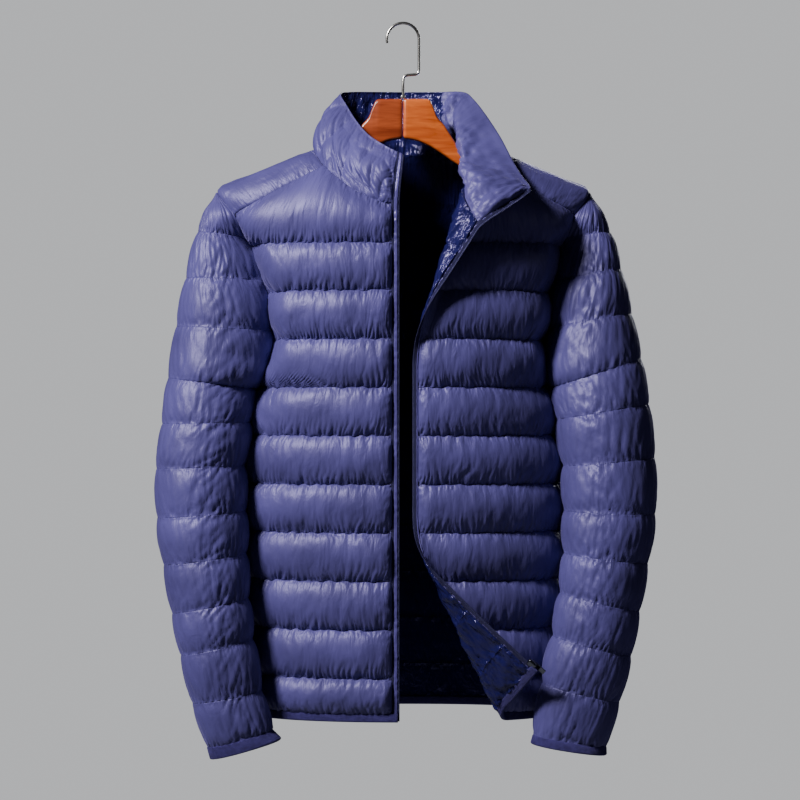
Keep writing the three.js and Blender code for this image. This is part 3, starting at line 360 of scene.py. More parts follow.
class TorsoForm:
    """The jacket's body as surfaces of the cloth's inner face."""

    def half(self, z: Array) -> Array:
        """Half width at a level."""
        return look_up(TORSO, "z", "half", z)

    def opening(self, x: Array, z: Array) -> Array:
        """How far the depth has opened below the shoulder line."""
        shoulder = NECK_SIDE_Z - (np.abs(x) - NECK_SIDE_X) * SHOULDER_SLOPE
        drop = np.clip((shoulder - z) / SHOULDER_ROUND, 0, 1)
        return np.sqrt(np.maximum(0, 1 - (1 - drop) ** 2))

    def y(self, x: Array, z: Array, on_front: bool) -> Array:
        """Depth of the front or back at a place seen from the front."""
        share = np.clip(np.abs(x) / self.half(z), 0, 1)
        bulge = (1 - share**SECTION_POWER) ** (1 / SECTION_POWER)
        depth = look_up(TORSO, "z", "front" if on_front else "back", z)
        return (-1 if on_front else 1) * depth * bulge * self.opening(x, z)

    def section_x(self, turn: Array, z: Array) -> Array:
        """A section's place for a turn from the centre line, 1 at the side seam."""
        reach = np.sin(np.abs(turn) * np.pi / 2) ** (2 / SECTION_POWER)
        return np.sign(turn) * self.half(z) * reach

    def section_turn(self, x: Array, z: Array) -> Array:
        """The turn of a place on a section."""
        share = np.clip(np.abs(x) / self.half(z), 0, 1)
        return np.sign(x) * np.arcsin(share ** (SECTION_POWER / 2)) / (np.pi / 2)

    def armhole_x(self, table: Sequence[Station], z: Array) -> Array:
        """Distance of the armhole or side seam from the centre plane."""
        return np.where(z < ARMPIT_Z, self.half(z), look_up(table, "z", "x", z))

    def level(self, line: Array) -> Array:
        """The level of a quilt line, counted from the first across the front."""
        low = np.minimum(np.floor(line), BAFFLES - 1)
        ends = [np.where(k >= BAFFLES, HEM_SEAM_Z, FIRST_LINE_Z - k * BAFFLE_HEIGHT) for k in (low, low + 1)]
        return mix(ends[0], ends[1], line - low)

    def front_flat(self, side: Side, share: Array, row: Array) -> tuple[Array, Array]:
        """A front panel's place seen from the front, before it is folded.

        Args:
            side: the wearer's side.
            share: 0 at the zip edge to 1 at the armhole or side seam.
            row: 0 at the neck and shoulder seams, 1 at the first quilt line, and so on.

        Returns:
            Distance from the centre plane, and level.
        """
        share, row = np.broadcast_arrays(share, row)
        edge = -RIGHT_EDGE_X if side is Side.RIGHT else LEFT_EDGE_X
        yoke, armhole = YOKE[side], ARMHOLE_FRONT[side]
        z = self.level(np.maximum(row, 1) - 1)
        start = self.section_turn(np.full_like(z, edge), z)
        end = self.section_turn(self.armhole_x(armhole, z), z)
        x = self.section_x(mix(start, end, share), z)
        top_x = mix(edge, yoke.arm_x, share)
        on_neck = top_x < yoke.neck_x
        yoke_share = (top_x - yoke.neck_x) / (yoke.arm_x - yoke.neck_x)
        neck_z = look_up(NECK_FRONT, "x", "z", top_x)
        top_z = np.where(on_neck, neck_z, mix(yoke.neck_z, yoke.arm_z, yoke_share) - SEAM_GAP)
        arm_z = mix(yoke.arm_z, z, row)
        chord_x = mix(yoke.arm_x, self.armhole_x(armhole, z), row)
        bow = share**4 * (self.armhole_x(armhole, arm_z) - chord_x)
        above = row < 1
        return (
            np.where(above, mix(top_x, x, row) + bow, x),
            np.where(above, mix(top_z, z, row), z),
        )

    def folded(self, points: Array) -> Array:
        """Points of the flat left front, turned round its folds."""
        for fold in FOLDS:
            across_x, across_z = -abs(fold.along_z), math.copysign(fold.along_x, fold.along_z)
            dx, dz = points[..., 0] - fold.x, points[..., 2] - fold.z
            beyond = dx * across_x + dz * across_z + fold.radius
            run = dx * fold.along_x + dz * fold.along_z
            start_x = fold.x + run * fold.along_x - fold.radius * across_x
            start_z = fold.z + run * fold.along_z - fold.radius * across_z
            start_y = self.y(start_x, start_z, True)
            turn = math.radians(fold.turn)
            angle = np.clip(beyond / fold.radius, 0, turn)
            rest = np.maximum(0, beyond - fold.radius * turn)
            reach = fold.radius - (start_y - points[..., 1])
            sideways = reach * np.sin(angle) + rest * np.cos(angle)
            forward = fold.radius - reach * np.cos(angle) + rest * np.sin(angle)
            turned = stack(start_x + sideways * across_x, start_y - forward, start_z + sideways * across_z)
            points = np.where((beyond > 0)[..., None], turned, points)
        return points

    def front(self, side: Side, x: Array, z: Array) -> Array:
        """Places on a front panel's inner face, folded as it hangs."""
        flat = stack(x, self.y(x, z, True), z)
        return flat if side is Side.RIGHT else self.folded(flat)

    def fold_nearness(self, side: Side, x: Array, z: Array) -> Array:
        """How much of a fold's roll lies at a place, 1 in its middle."""
        near = np.zeros(np.broadcast(x, z).shape)
        if side is Side.RIGHT:
            return near
        for fold in FOLDS:
            across_x, across_z = -abs(fold.along_z), math.copysign(fold.along_x, fold.along_z)
            beyond = (x - fold.x) * across_x + (z - fold.z) * across_z + fold.radius
            arc = fold.radius * math.radians(fold.turn)
            near = np.maximum(near, smooth(1 - np.abs(beyond / arc - 0.5)))
        return near

    def back_flat(self, share: Array, row: Array) -> tuple[Array, Array]:
        """The back's place for a share across, -1 to 1, and a row below the shoulder line."""
        share, row = np.broadcast_arrays(share, row)
        low = np.maximum(row, 1)
        z = np.where(
            low < 2,
            mix(BACK_YOKE_LINE_Z, FIRST_LINE_Z, low - 1),
            self.level(np.maximum(low - 2, 0)),
        )
        end = self.section_turn(self.armhole_x(ARMHOLE_BACK, z), z)
        x = self.section_x(share * end, z)
        top_x = share * SHOULDER_TIP_X
        neck = np.abs(top_x) / NECK_SIDE_X
        shoulder = NECK_SIDE_Z - (np.abs(top_x) - NECK_SIDE_X) * SHOULDER_SLOPE
        top_z = np.where(neck < 1, NECK_BACK_Z - NECK_BACK_DROP * neck**6, shoulder)
        above = row < 1
        return np.where(above, mix(top_x, x, row**2), x), np.where(above, mix(top_z, z, row**2), z)

    def forward_flat(self, side: Side, share: Array, row: Array) -> tuple[Array, Array]:
        """The back piece beyond the shoulder line, row 0 there to 1 at the forward seam."""
        yoke = YOKE[side]
        across = (share - NECK_SHARE) / (1 - NECK_SHARE)
        top_x = share * SHOULDER_TIP_X
        shoulder = NECK_SIDE_Z - (top_x - NECK_SIDE_X) * SHOULDER_SLOPE
        drop = row**2
        x = mix(top_x, mix(yoke.neck_x, yoke.arm_x, across), drop)
        z = mix(shoulder, mix(yoke.neck_z, yoke.arm_z, across), drop)
        at_arm = across**12 * (look_up(ARMHOLE_FRONT[side], "z", "x", z) - x)
        return x + at_arm, z


TORSO_FORM = TorsoForm()


class SleeveForm:
    """A sleeve's tube and cap as the surface of its cloth's inner face."""

    def __init__(self, side: Side) -> None:
        """Keeps the side's rows.

        Args:
            side: the wearer's side.
        """
        self.side = side
        self.rows = SLEEVE_ROWS[side]

    def outline(self, row: Array, turn: Array) -> Array:
        """The tube's measured outside for a row and a turn, 0 on the outer side."""
        out_x, out_z = by_row(self.rows, "out_x", row), by_row(self.rows, "out_z", row)
        in_x, in_z = by_row(self.rows, "in_x", row), by_row(self.rows, "in_z", row)
        angle = turn * np.pi
        share = (1 - np.cos(angle)) / 2
        y = by_row(self.rows, "y", row) + by_row(self.rows, "deep", row) * np.sin(angle)
        return stack(self.side.value * mix(out_x, in_x, share), y, mix(out_z, in_z, share))

    def inset(self, row: Array, turn: Array, inset: Array) -> Array:
        """The tube drawn in from its measured outside."""
        outer = self.outline(row, turn)
        middle = (self.outline(row, turn * 0) + self.outline(row, turn * 0 + 1)) / 2
        radius = outer - middle
        length = np.maximum(np.linalg.norm(radius, axis=-1, keepdims=True), 1)
        return middle + radius * np.maximum(0.2, 1 - np.asarray(inset)[..., None] / length)

    def seam(self, row: Array, on_front: bool) -> Array:
        """The armhole seam's place beside the cap."""
        z = along(np.arange(len(CAP_LEVELS)), CAP_LEVELS, row)
        table = ARMHOLE_FRONT[self.side] if on_front else ARMHOLE_BACK
        x = look_up(table, "z", "x", z)
        near = smooth((row - 2.8) / 1.2)
        y = TORSO_FORM.y(x, z, on_front) + valley(0 * z, z, VALLEY_FRONT if on_front else -VALLEY_BACK)
        return stack(self.side.value * (x + 0.8), y, z - 1.5 * near)

    def places(self, row: Array, turn: Array) -> Array:
        """The cloth's inner face, its cap drawn to the armhole.

        Args:
            row: 0 at the shoulder's tip, 4 at the armpit, 12 at the cuff.
            turn: -1 to 1 round the tube, 0 on the outer side.

        Returns:
            Points, in millimetres.
        """
        row, turn = np.broadcast_arrays(row, turn)
        reach = np.where(row < ARMPIT_ROW, mix(0.45, 1, smooth(row / ARMPIT_ROW)), 1.0)
        inset = SLEEVE_INSET * np.clip(row, 0, 1)
        point = self.inset(row, turn * reach, inset)
        end = self.inset(row, np.sign(turn) * reach, inset)
        cap_row = np.minimum(row, ARMPIT_ROW)
        seam = np.where((turn < 0)[..., None], self.seam(cap_row, True), self.seam(cap_row, False))
        fade = 1 - smooth((row - ARMPIT_ROW) / 1.0)
        pulled = np.abs(turn) ** 2.2 * fade
        return point + (seam - end) * pulled[..., None]


class CollarForm:
    """The stand collar as the surface of its inner face."""

    def seam_points(self) -> Array:
        """The neck seam at each station."""
        points = []
        for station in COLLAR:
            x = float(station.seam_x)
            if station.on_back:
                z = NECK_BACK_Z - NECK_BACK_DROP * (abs(x) / NECK_SIDE_X) ** 6
                points.append([x, float(TORSO_FORM.y(np.array(x), np.array(z), False)), z])
            else:
                z = look_up(NECK_FRONT, "x", "z", np.array(abs(x)))
                side = Side.RIGHT if x < 0 else Side.LEFT
                points.append(TORSO_FORM.front(side, np.array(x), z).tolist())
        return np.array(points)

    def places(self, at: Array, share: Array) -> Array:
        """Places on the collar.

        Args:
            at: station, 0 at the right front edge to 17 at the left one.
            share: 0 at the neck seam to 1 at the top edge.

        Returns:
            Points, in millimetres.
        """
        at, share = np.broadcast_arrays(at, share)
        index = np.arange(len(COLLAR))
        seams = self.seam_points()
        seam = np.stack([along(index, seams[:, k], at) for k in range(3)], axis=-1)
        middle = np.stack([by_row(COLLAR, "mid_" + k, at) for k in "xyz"], axis=-1)
        top = np.stack([by_row(COLLAR, "top_" + k, at) for k in "xyz"], axis=-1)
        seam = seam + unit(middle - seam) * (WALL + SEAM_GAP * 4)
        share = share[..., None]
        return (
            seam * ((1 - share) * (1 - 2 * share))
            + middle * (4 * share * (1 - share))
            + top * (share * (2 * share - 1))
        )


class Noise:
    """Smooth gradient noise over a plane, the same for the same seed."""

    SIZE = 256

    def __init__(self, seed: int) -> None:
        """Draws the lattice.

        Args:
            seed: the draw's seed.
        """
        turns = np.random.default_rng(seed).uniform(0, 2 * np.pi, (self.SIZE, self.SIZE))
        self.gradients = np.stack([np.cos(turns), np.sin(turns)], axis=-1)

    def at(self, x: Array, y: Array) -> Array:
        """The noise at places, about -1 to 1 and one wave to each unit or two."""
        x, y = np.broadcast_arrays(x, y)
        cell_x, cell_y = np.floor(x).astype(int), np.floor(y).astype(int)
        part_x, part_y = x - cell_x, y - cell_y

        def corner(i: int, j: int) -> Array:
            """The pull of one corner of the cell."""
            slope = self.gradients[(cell_x + i) % self.SIZE, (cell_y + j) % self.SIZE]
            return slope[..., 0] * (part_x - i) + slope[..., 1] * (part_y - j)

        ease_x = part_x**3 * (part_x * (part_x * 6 - 15) + 10)
        ease_y = part_y**3 * (part_y * (part_y * 6 - 15) + 10)
        low = mix(corner(0, 0), corner(1, 0), ease_x)
        high = mix(corner(0, 1), corner(1, 1), ease_x)
        return mix(low, high, ease_y) * 1.5


def creased(noise: Noise, fast: Array, slow: Array) -> Array:
    """Rounded lobes between sharp creases, 0 on a lobe's top and -1 in a crease."""
    return np.minimum(np.abs(noise.at(fast, slow)) * 2.4, 1) ** 0.65 - 1


@dataclass(frozen=True)
class Gathers:
    """Small pleats that run out from a sewn line.

    Attributes:
        spacing: from pleat to pleat, in millimetres.
        length: how far they reach.
        depth: how deep they are.
    """

    spacing: float
    length: float
    depth: float

    def relief(self, noise: Noise, along_mm: Array, away_mm: Array, offset: Array) -> Array:
        """The pleats' depth below the plain puff.

        Args:
            noise: the draw of the pleats.
            along_mm: place along the sewn line.
            away_mm: distance from it.
            offset: a number that differs from line to line.

        Returns:
            Heights, 0 or less, in millimetres.
        """
        reach = self.length * (1 + 0.55 * noise.at(along_mm / (self.spacing * 1.7) + 31, offset * 7.3 + 5))
        fade = np.exp(-((away_mm / reach) ** 1.4)) * (0.3 + 0.7 * smooth(away_mm / 2.5))
        lean = noise.at(along_mm / 45 + offset * 3.1, away_mm / 50 + 9) * 12 / self.spacing
        fan = lean * np.minimum(away_mm, self.length) / self.length
        lobes = creased(noise, along_mm / self.spacing + fan, away_mm / (self.length * 2.6) + offset * 11.7)
        return self.depth * fade * lobes


def crumple(seed: int, x: Array, y: Array) -> Array:
    """Irregular creases, two slanting ways and small, over a face in millimetres."""
    noise, other = Noise(seed), Noise(seed + 1)
    bend_x = x + 9 * noise.at(x / 40, y / 40)
    bend_y = y + 9 * other.at(x / 36 + 7, y / 36)
    long = creased(noise, (bend_x * 0.8 + bend_y * 0.6) / 17, (bend_y * 0.8 - bend_x * 0.6) / 46)
    cross = creased(other, (bend_x * 0.9 - bend_y * 0.5) / 13 + 50, (bend_y * 0.9 + bend_x * 0.5) / 30)
    small = creased(noise, bend_x / 7 + 20, bend_y / 15 + 30)
    return 2.0 * long + 1.2 * cross + 0.4 * small


def valley(from_seam: Array, z: Array, deep: float) -> Array:
    """How far the cloth sinks beside an armhole seam, nothing at its top and below the armpit."""
    near = 1 - smooth(from_seam / 30)
    return deep * near * smooth((SHOULDER_END_Z - z) / 50) * smooth((z - ARMPIT_Z) / 40)


LOWER_EDGE = Gathers(5.6, 15, 3.3)
UPPER_EDGE = Gathers(5.2, 7, 1.9)
FINE_EDGE = Gathers(3.8, 5, 0.9)
SIDE_EDGE = Gathers(9.0, 12, 1.5)
ZIP_EDGE = Gathers(5.0, 10, 1.9)


@dataclass
class ClothGrid:
    """A panel's grid of places on its inner face.

    Attributes:
        points: rows by columns of points.
        normals: directions out of the shell.
        across: distance along each row from its first column.
        wrapped: rows whose last column is their first.
    """

    points: Array
    normals: Array
    across: Array
    wrapped: Array

    @classmethod
    def of(cls, points: Array, sign: float, wrapped: Array | None = None) -> "ClothGrid":
        """Makes the grid with its directions.

        Args:
            points: rows by columns of points.
            sign: 1 or -1, which turns the directions out of the shell.
            wrapped: rows whose last column is their first.

        Returns:
            The grid.
        """
        count, columns = points.shape[:2]
        wrapped = np.zeros(count, bool) if wrapped is None else wrapped
        after = points[:, np.minimum(np.arange(columns) + 1, columns - 1)].copy()
        before = points[:, np.maximum(np.arange(columns) - 1, 0)].copy()
        after[wrapped, -1] = points[wrapped, 1]
        before[wrapped, 0] = points[wrapped, -2]
        below = points[np.minimum(np.arange(count) + 1, count - 1)]
        above = points[np.maximum(np.arange(count) - 1, 0)]
        normals = unit(np.cross(after - before, below - above)) * sign
        steps = np.linalg.norm(np.diff(points, axis=1), axis=-1)
        across = np.concatenate([np.zeros((count, 1)), np.cumsum(steps, axis=1)], axis=1)
        return cls(points, normals, across, wrapped)

    @property
    def width(self) -> Array:
        """The length of each row."""
        return self.across[:, -1:]


class Face(Enum):
    """Which face of a wall a relief is for."""

    SHELL = 0
    LINING = 1


class ClothWall:
    """A closed wall of cloth from grids that share a list of places."""

    def __init__(self) -> None:
        """Starts an empty wall."""
        self.outer: list[Array] = []
        self.inner: list[Array] = []
        self.uvs: list[Array] = []
        self.seams: list[Array] = []
        self.quads: list[Array] = []
        self.cells: list[Array] = []
        self.count = 0

    def add_places(self, outer: Array, inner: Array, uvs: Array, seam: Array) -> Array:
        """Adds rows by columns of places.

        Args:
            outer: places on the shell.
            inner: places on the lining.
            uvs: the cloth's own coordinates, in millimetres.
            seam: nearness of a sewn line, 0 to 1.

        Returns:
            Their numbers, rows by columns.
        """
        shape = outer.shape[:2]
        self.outer.append(outer.reshape(-1, 3))
        self.inner.append(inner.reshape(-1, 3))
        self.uvs.append(uvs.reshape(-1, 2))
        self.seams.append(np.broadcast_to(seam, shape).reshape(-1))
        ids = self.count + np.arange(shape[0] * shape[1]).reshape(shape)
        self.count += shape[0] * shape[1]
        return ids

    def add_grid(self, ids: Array) -> None:
        """Adds the faces between rows by columns of places; the lining keeps every second one."""
        corners = [ids[:-1, :-1], ids[:-1, 1:], ids[1:, 1:], ids[1:, :-1]]
        self.quads.append(np.stack(corners, axis=-1).reshape(-1, 4))
        around = ((0, 0), (0, 1), (0, 2), (1, 2), (2, 2), (2, 1), (2, 0), (1, 0))
        rows, columns = ids.shape
        cells = np.stack([ids[i : rows - 2 + i : 2, j : columns - 2 + j : 2] for i, j in around], axis=-1)
        for middle, edge in ((1, np.s_[1:, :]), (3, np.s_[:, :-1]), (5, np.s_[:-1, :]), (7, np.s_[:, 1:])):
            cells[edge + (middle,)] = cells[edge + (middle - 1,)]
        self.cells.append(cells.reshape(-1, 8))

    def build(self, name: str, materials: Sequence[bpy.types.Material]) -> bpy.types.Object:
        """Makes the closed mesh, its rims joining the shell to the lining.

        Args:
            name: the piece's name.
            materials: the shell's, the lining's and the rim's materials.

        Returns:
            The piece.
        """
        quads, cells = np.concatenate(self.quads), np.concatenate(self.cells)
        edges = np.stack([quads, np.roll(quads, -1, axis=1)], axis=-1).reshape(-1, 2)
        edges = edges[edges[:, 0] != edges[:, 1]]
        keys = edges[:, 0] * self.count + edges[:, 1]
        twins = edges[:, 1] * self.count + edges[:, 0]
        rim = edges[~np.isin(keys, twins)]
        shift = self.count
        rims = np.stack([rim[:, 1], rim[:, 0], rim[:, 0] + shift, rim[:, 1] + shift], axis=-1)
        wide = [np.repeat(part, 2, axis=1) for part in (quads, rims)]
        faces = np.concatenate([wide[0], cells[:, ::-1] + shift, wide[1]])
        slots = np.repeat([0, 1, min(2, len(materials) - 1)], [len(quads), len(cells), len(rims)])
        points = np.concatenate(self.outer + self.inner)
        uvs = np.concatenate(self.uvs + self.uvs)
        seams = np.concatenate(self.seams + self.seams)
        return mesh_piece(name, points, faces, materials, slots, uvs, {"seam": seams})


def signed_volume(points: Array, faces: Array) -> float:
    """The volume inside a closed mesh, below 0 where its faces point in."""
    first = points[faces[:, 0]]
    pairs = ((points[faces[:, k]], points[faces[:, k + 1]]) for k in range(1, faces.shape[1] - 1))
    return float(sum((first * np.cross(b, c)).sum() for b, c in pairs)) / 6


def mesh_piece(
    name: str,
    points: Array,
    faces: Array,
    materials: Sequence[bpy.types.Material],
    slots: Array | None = None,
    uvs: Array | None = None,
    attributes: dict[str, Array] | None = None,
) -> bpy.types.Object:
    """Makes a piece from points in millimetres and quads.

    Args:
        name: the piece's name.
        points: its points.
        faces: corners of each face; a corner that repeats is dropped.
        materials: its materials.
        slots: each face's material.
        uvs: each point's own coordinates, in millimetres.
        attributes: further numbers of each point.

    Returns:
        The piece, with smooth faces that point outwards.
    """
    if signed_volume(points, faces) < 0:
        faces = faces[:, ::-1]
    corners = faces.shape[1]
    used, faces = np.unique(faces, return_inverse=True)
    faces = faces.reshape(-1, corners)
    points = points[used]
    mesh = bpy.data.meshes.new(name)
    mesh.vertices.add(len(points))
    mesh.vertices.foreach_set("co", (points * MM).astype(np.float32).ravel())
    keep = faces != np.roll(faces, 1, axis=1)
    sizes = keep.sum(axis=1)
    whole = sizes >= 3
    keep, sizes, faces = keep[whole], sizes[whole], faces[whole]
    loops = faces[keep]
    starts = np.concatenate([[0], np.cumsum(sizes)[:-1]])
    mesh.loops.add(len(loops))
    mesh.loops.foreach_set("vertex_index", loops.astype(np.int32))
    mesh.polygons.add(len(sizes))
    mesh.polygons.foreach_set("loop_start", starts.astype(np.int32))
    mesh.polygons.foreach_set("loop_total", sizes.astype(np.int32))
    mesh.polygons.foreach_set("use_smooth", np.ones(len(sizes), bool))
    for material in materials:
        mesh.materials.append(material)
    if slots is not None:
        mesh.polygons.foreach_set("material_index", slots[whole].astype(np.int32))
    if uvs is not None:
        layer = mesh.uv_layers.new(name="cloth")
        layer.data.foreach_set("uv", (uvs[used][loops] * MM).astype(np.float32).ravel())
    for key, values in (attributes or {}).items():
        mesh.attributes.new(key, "FLOAT", "POINT").data.foreach_set("value", values[used].astype(np.float32))
    mesh.update()
    mesh.validate()
    piece = bpy.data.objects.new(name, mesh)
    bpy.context.scene.collection.objects.link(piece)
    return piece


def dressed(piece: bpy.types.Object, body: str, slot: str, *nodes: str) -> bpy.types.Object:
    """Puts a piece on its body, with what it replaces."""
    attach(piece, body)
    if nodes:
        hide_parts(*nodes)
    LOG.info("%s: %d faces", piece.name, len(piece.data.polygons))
    return piece


class NodePen:
    """Adds shader nodes and joins them."""

    def __init__(self, material: bpy.types.Material) -> None:
        """Clears the material for new nodes.

        Args:
            material: the material to write.
        """
        material.use_nodes = True
        self.tree = material.node_tree
        self.tree.nodes.clear()
        self.output = self.tree.nodes.new("ShaderNodeOutputMaterial")

    def node(self, kind: str, **settings: object) -> bpy.types.Node:
        """A new node with its settings."""
        made = self.tree.nodes.new(kind)
        for key, value in settings.items():
            setattr(made, key, value)
        return made

    def join(self, start: bpy.types.NodeSocket, end: bpy.types.NodeSocket) -> None:
        """Joins an output to an input."""
        self.tree.links.new(start, end)

    def uv(self) -> bpy.types.NodeSocket:
        """The cloth's own coordinates."""
        return self.node("ShaderNodeUVMap", uv_map="cloth").outputs["UV"]

    def place(self) -> bpy.types.NodeSocket:
        """Object coordinates."""
        return self.node("ShaderNodeTexCoord").outputs["Object"]

    def attribute(self, name: str) -> bpy.types.NodeSocket:
        """A number kept on the points."""
        return self.node("ShaderNodeAttribute", attribute_name=name).outputs["Fac"]

    def scaled(self, source: bpy.types.NodeSocket, scale: Sequence[float], turn: float = 0) -> bpy.types.NodeSocket:
        """Coordinates, scaled and turned about Z."""
        mapping = self.node("ShaderNodeMapping")
        mapping.inputs["Scale"].default_value = scale
        mapping.inputs["Rotation"].default_value = (0, 0, turn)
        self.join(source, mapping.inputs["Vector"])
        return mapping.outputs["Vector"]

    def noise(self, source: bpy.types.NodeSocket, scale: float, detail: float = 2, distort: float = 0) -> bpy.types.NodeSocket:
        """A noise texture's grey."""
        made = self.node("ShaderNodeTexNoise")
        made.inputs["Scale"].default_value = scale
        made.inputs["Detail"].default_value = detail
        made.inputs["Distortion"].default_value = distort
        self.join(source, made.inputs["Vector"])
        return made.outputs["Fac"]

    def wave(self, source: bpy.types.NodeSocket, scale: float, direction: str) -> bpy.types.NodeSocket:
        """Even bands across a direction."""
        made = self.node("ShaderNodeTexWave", bands_direction=direction)
        made.inputs["Scale"].default_value = scale
        self.join(source, made.inputs["Vector"])
        return made.outputs["Fac"]

    def math(self, operation: str, first: object, second: object = 0.0) -> bpy.types.NodeSocket:
        """A sum on two numbers or outputs."""
        made = self.node("ShaderNodeMath", operation=operation)
        for value, socket in ((first, made.inputs[0]), (second, made.inputs[1])):
            if isinstance(value, bpy.types.NodeSocket):
                self.join(value, socket)
            else:
                socket.default_value = value
        return made.outputs["Value"]

    def ramp(self, source: bpy.types.NodeSocket, stops: Sequence[tuple[float, tuple[float, float, float]]]) -> bpy.types.NodeSocket:
        """Colours along a grey."""
        made = self.node("ShaderNodeValToRGB")
        elements = made.color_ramp.elements
        while len(elements) < len(stops):
            elements.new(0.5)
        for element, (position, colour) in zip(elements, stops):
            element.position = position
            element.color = (*colour, 1)
        self.join(source, made.inputs["Fac"])
        return made.outputs["Color"]

    def range(self, source: bpy.types.NodeSocket, low: float, high: float) -> bpy.types.NodeSocket:
        """A grey from 0 to 1, brought between two values."""
        made = self.node("ShaderNodeMapRange")
        made.inputs["To Min"].default_value = low
        made.inputs["To Max"].default_value = high
        self.join(source, made.inputs["Value"])
        return made.outputs["Result"]

    def bump(self, height: bpy.types.NodeSocket, distance: float, strength: float, under: bpy.types.NodeSocket | None = None) -> bpy.types.NodeSocket:
        """A bump, on another where one is given."""
        made = self.node("ShaderNodeBump")
        made.inputs["Distance"].default_value = distance
        made.inputs["Strength"].default_value = strength
        self.join(height, made.inputs["Height"])
        if under is not None:
            self.join(under, made.inputs["Normal"])
        return made.outputs["Normal"]

    def surface(self, colour: object, roughness: object, normal: bpy.types.NodeSocket | None, **constants: object) -> None:
        """The shader itself."""
        shader = self.node("ShaderNodeBsdfPrincipled")
        for value, name in ((colour, "Base Color"), (roughness, "Roughness")):
            if isinstance(value, bpy.types.NodeSocket):
                self.join(value, shader.inputs[name])
            else:
                shader.inputs[name].default_value = value
        for name, value in constants.items():
            shader.inputs[name.replace("_", " ")].default_value = value
        if normal is not None:
            self.join(normal, shader.inputs["Normal"])
        self.join(shader.outputs["BSDF"], self.output.inputs["Surface"])


def lighter(colour: Sequence[float], factor: float) -> tuple[float, float, float]:
    """A colour, made lighter or darker."""
    return tuple(min(1.0, part * factor) for part in colour)


@dataclass(frozen=True)
class NylonFinish:
    """Thin woven nylon over down.

    Attributes:
        name: the material's name.
        colour: its dye, linear.
        roughness: of the lobes.
        gloss: specular level.
        crinkle: height of the fine wrinkles, in metres.
        sheen: weight of the edge sheen.
    """

    name: str
    colour: tuple[float, float, float]
    roughness: float
    gloss: float
    crinkle: float
    sheen: float

    def material(self) -> bpy.types.Material:
        """Builds the material."""
        made = bpy.data.materials.new(self.name)
        pen = NodePen(made)
        uv, seam = pen.uv(), pen.attribute("seam")
        cloud = pen.noise(uv, 14, 3)
        colour = pen.ramp(cloud, [(0.3, lighter(self.colour, 0.8)), (0.7, lighter(self.colour, 1.18))])
        weave = pen.math("MULTIPLY", pen.wave(uv, 700, "X"), pen.wave(uv, 700, "Y"))
        drawn = pen.noise(pen.scaled(uv, (170, 42, 1)), 1, 3, 0.6)
        soft = pen.noise(pen.scaled(uv, (60, 38, 1), 0.5), 1, 2, 1.2)
        strength = pen.range(seam, 0.35, 1.0)
        wrinkle = pen.math("MULTIPLY", pen.math("ADD", drawn, pen.math("MULTIPLY", soft, 0.8)), strength)
        rough = pen.range(pen.noise(uv, 90, 2), self.roughness * 0.85, self.roughness * 1.2)
        normal = pen.bump(weave, 0.00006, 0.35, pen.bump(wrinkle, self.crinkle, 0.8))
        pen.surface(
            colour, rough, normal,
            Specular_IOR_Level=self.gloss, Sheen_Weight=self.sheen, Sheen_Roughness=0.35,
            Sheen_Tint=(0.52, 0.46, 1, 1), Specular_Tint=(0.62, 0.57, 1, 1),
        )
        return made


@dataclass(frozen=True)
class TapeFinish:
    """Woven or ribbed narrow tape.

    Attributes:
        name: the material's name.
        colour: its dye, linear.
        ribs: ribs to a metre.
        roughness: of the yarn.
    """

    name: str
    colour: tuple[float, float, float]
    ribs: float
    roughness: float

    def material(self) -> bpy.types.Material:
        """Builds the material."""
        made = bpy.data.materials.new(self.name)
        pen = NodePen(made)
        uv = pen.uv()
        colour = pen.ramp(pen.noise(uv, 160, 3), [(0.3, lighter(self.colour, 0.75)), (0.7, lighter(self.colour, 1.25))])
        ribs = pen.math("ADD", pen.wave(uv, self.ribs, "Y"), pen.math("MULTIPLY", pen.wave(uv, self.ribs * 1.4, "X"), 0.5))
        normal = pen.bump(ribs, 0.0006, 0.8, pen.bump(pen.noise(uv, 220, 2, 0.8), 0.0005, 0.5))
        pen.surface(colour, self.roughness, normal, Specular_IOR_Level=0.3, Specular_Tint=(0.62, 0.57, 1, 1))
        return made


@dataclass(frozen=True)
class MetalFinish:
    """Plated or painted metal.

    Attributes:
        name: the material's name.
        colour: of the metal, linear.
        roughness: of its polish.
    """

    name: str
    colour: tuple[float, float, float]
    roughness: float

    def material(self) -> bpy.types.Material:
        """Builds the material."""
        made = bpy.data.materials.new(self.name)
        pen = NodePen(made)
        place = pen.place()
        rough = pen.range(pen.noise(place, 700, 3), self.roughness * 0.7, self.roughness * 1.5)
        colour = pen.ramp(pen.noise(place, 180, 3), [(0.3, lighter(self.colour, 0.86)), (0.7, self.colour)])
        normal = pen.bump(pen.noise(pen.scaled(place, (1, 1, 0.12)), 1400, 2), 0.00004, 0.4)
        pen.surface(colour, rough, normal, Metallic=1.0)
        return made


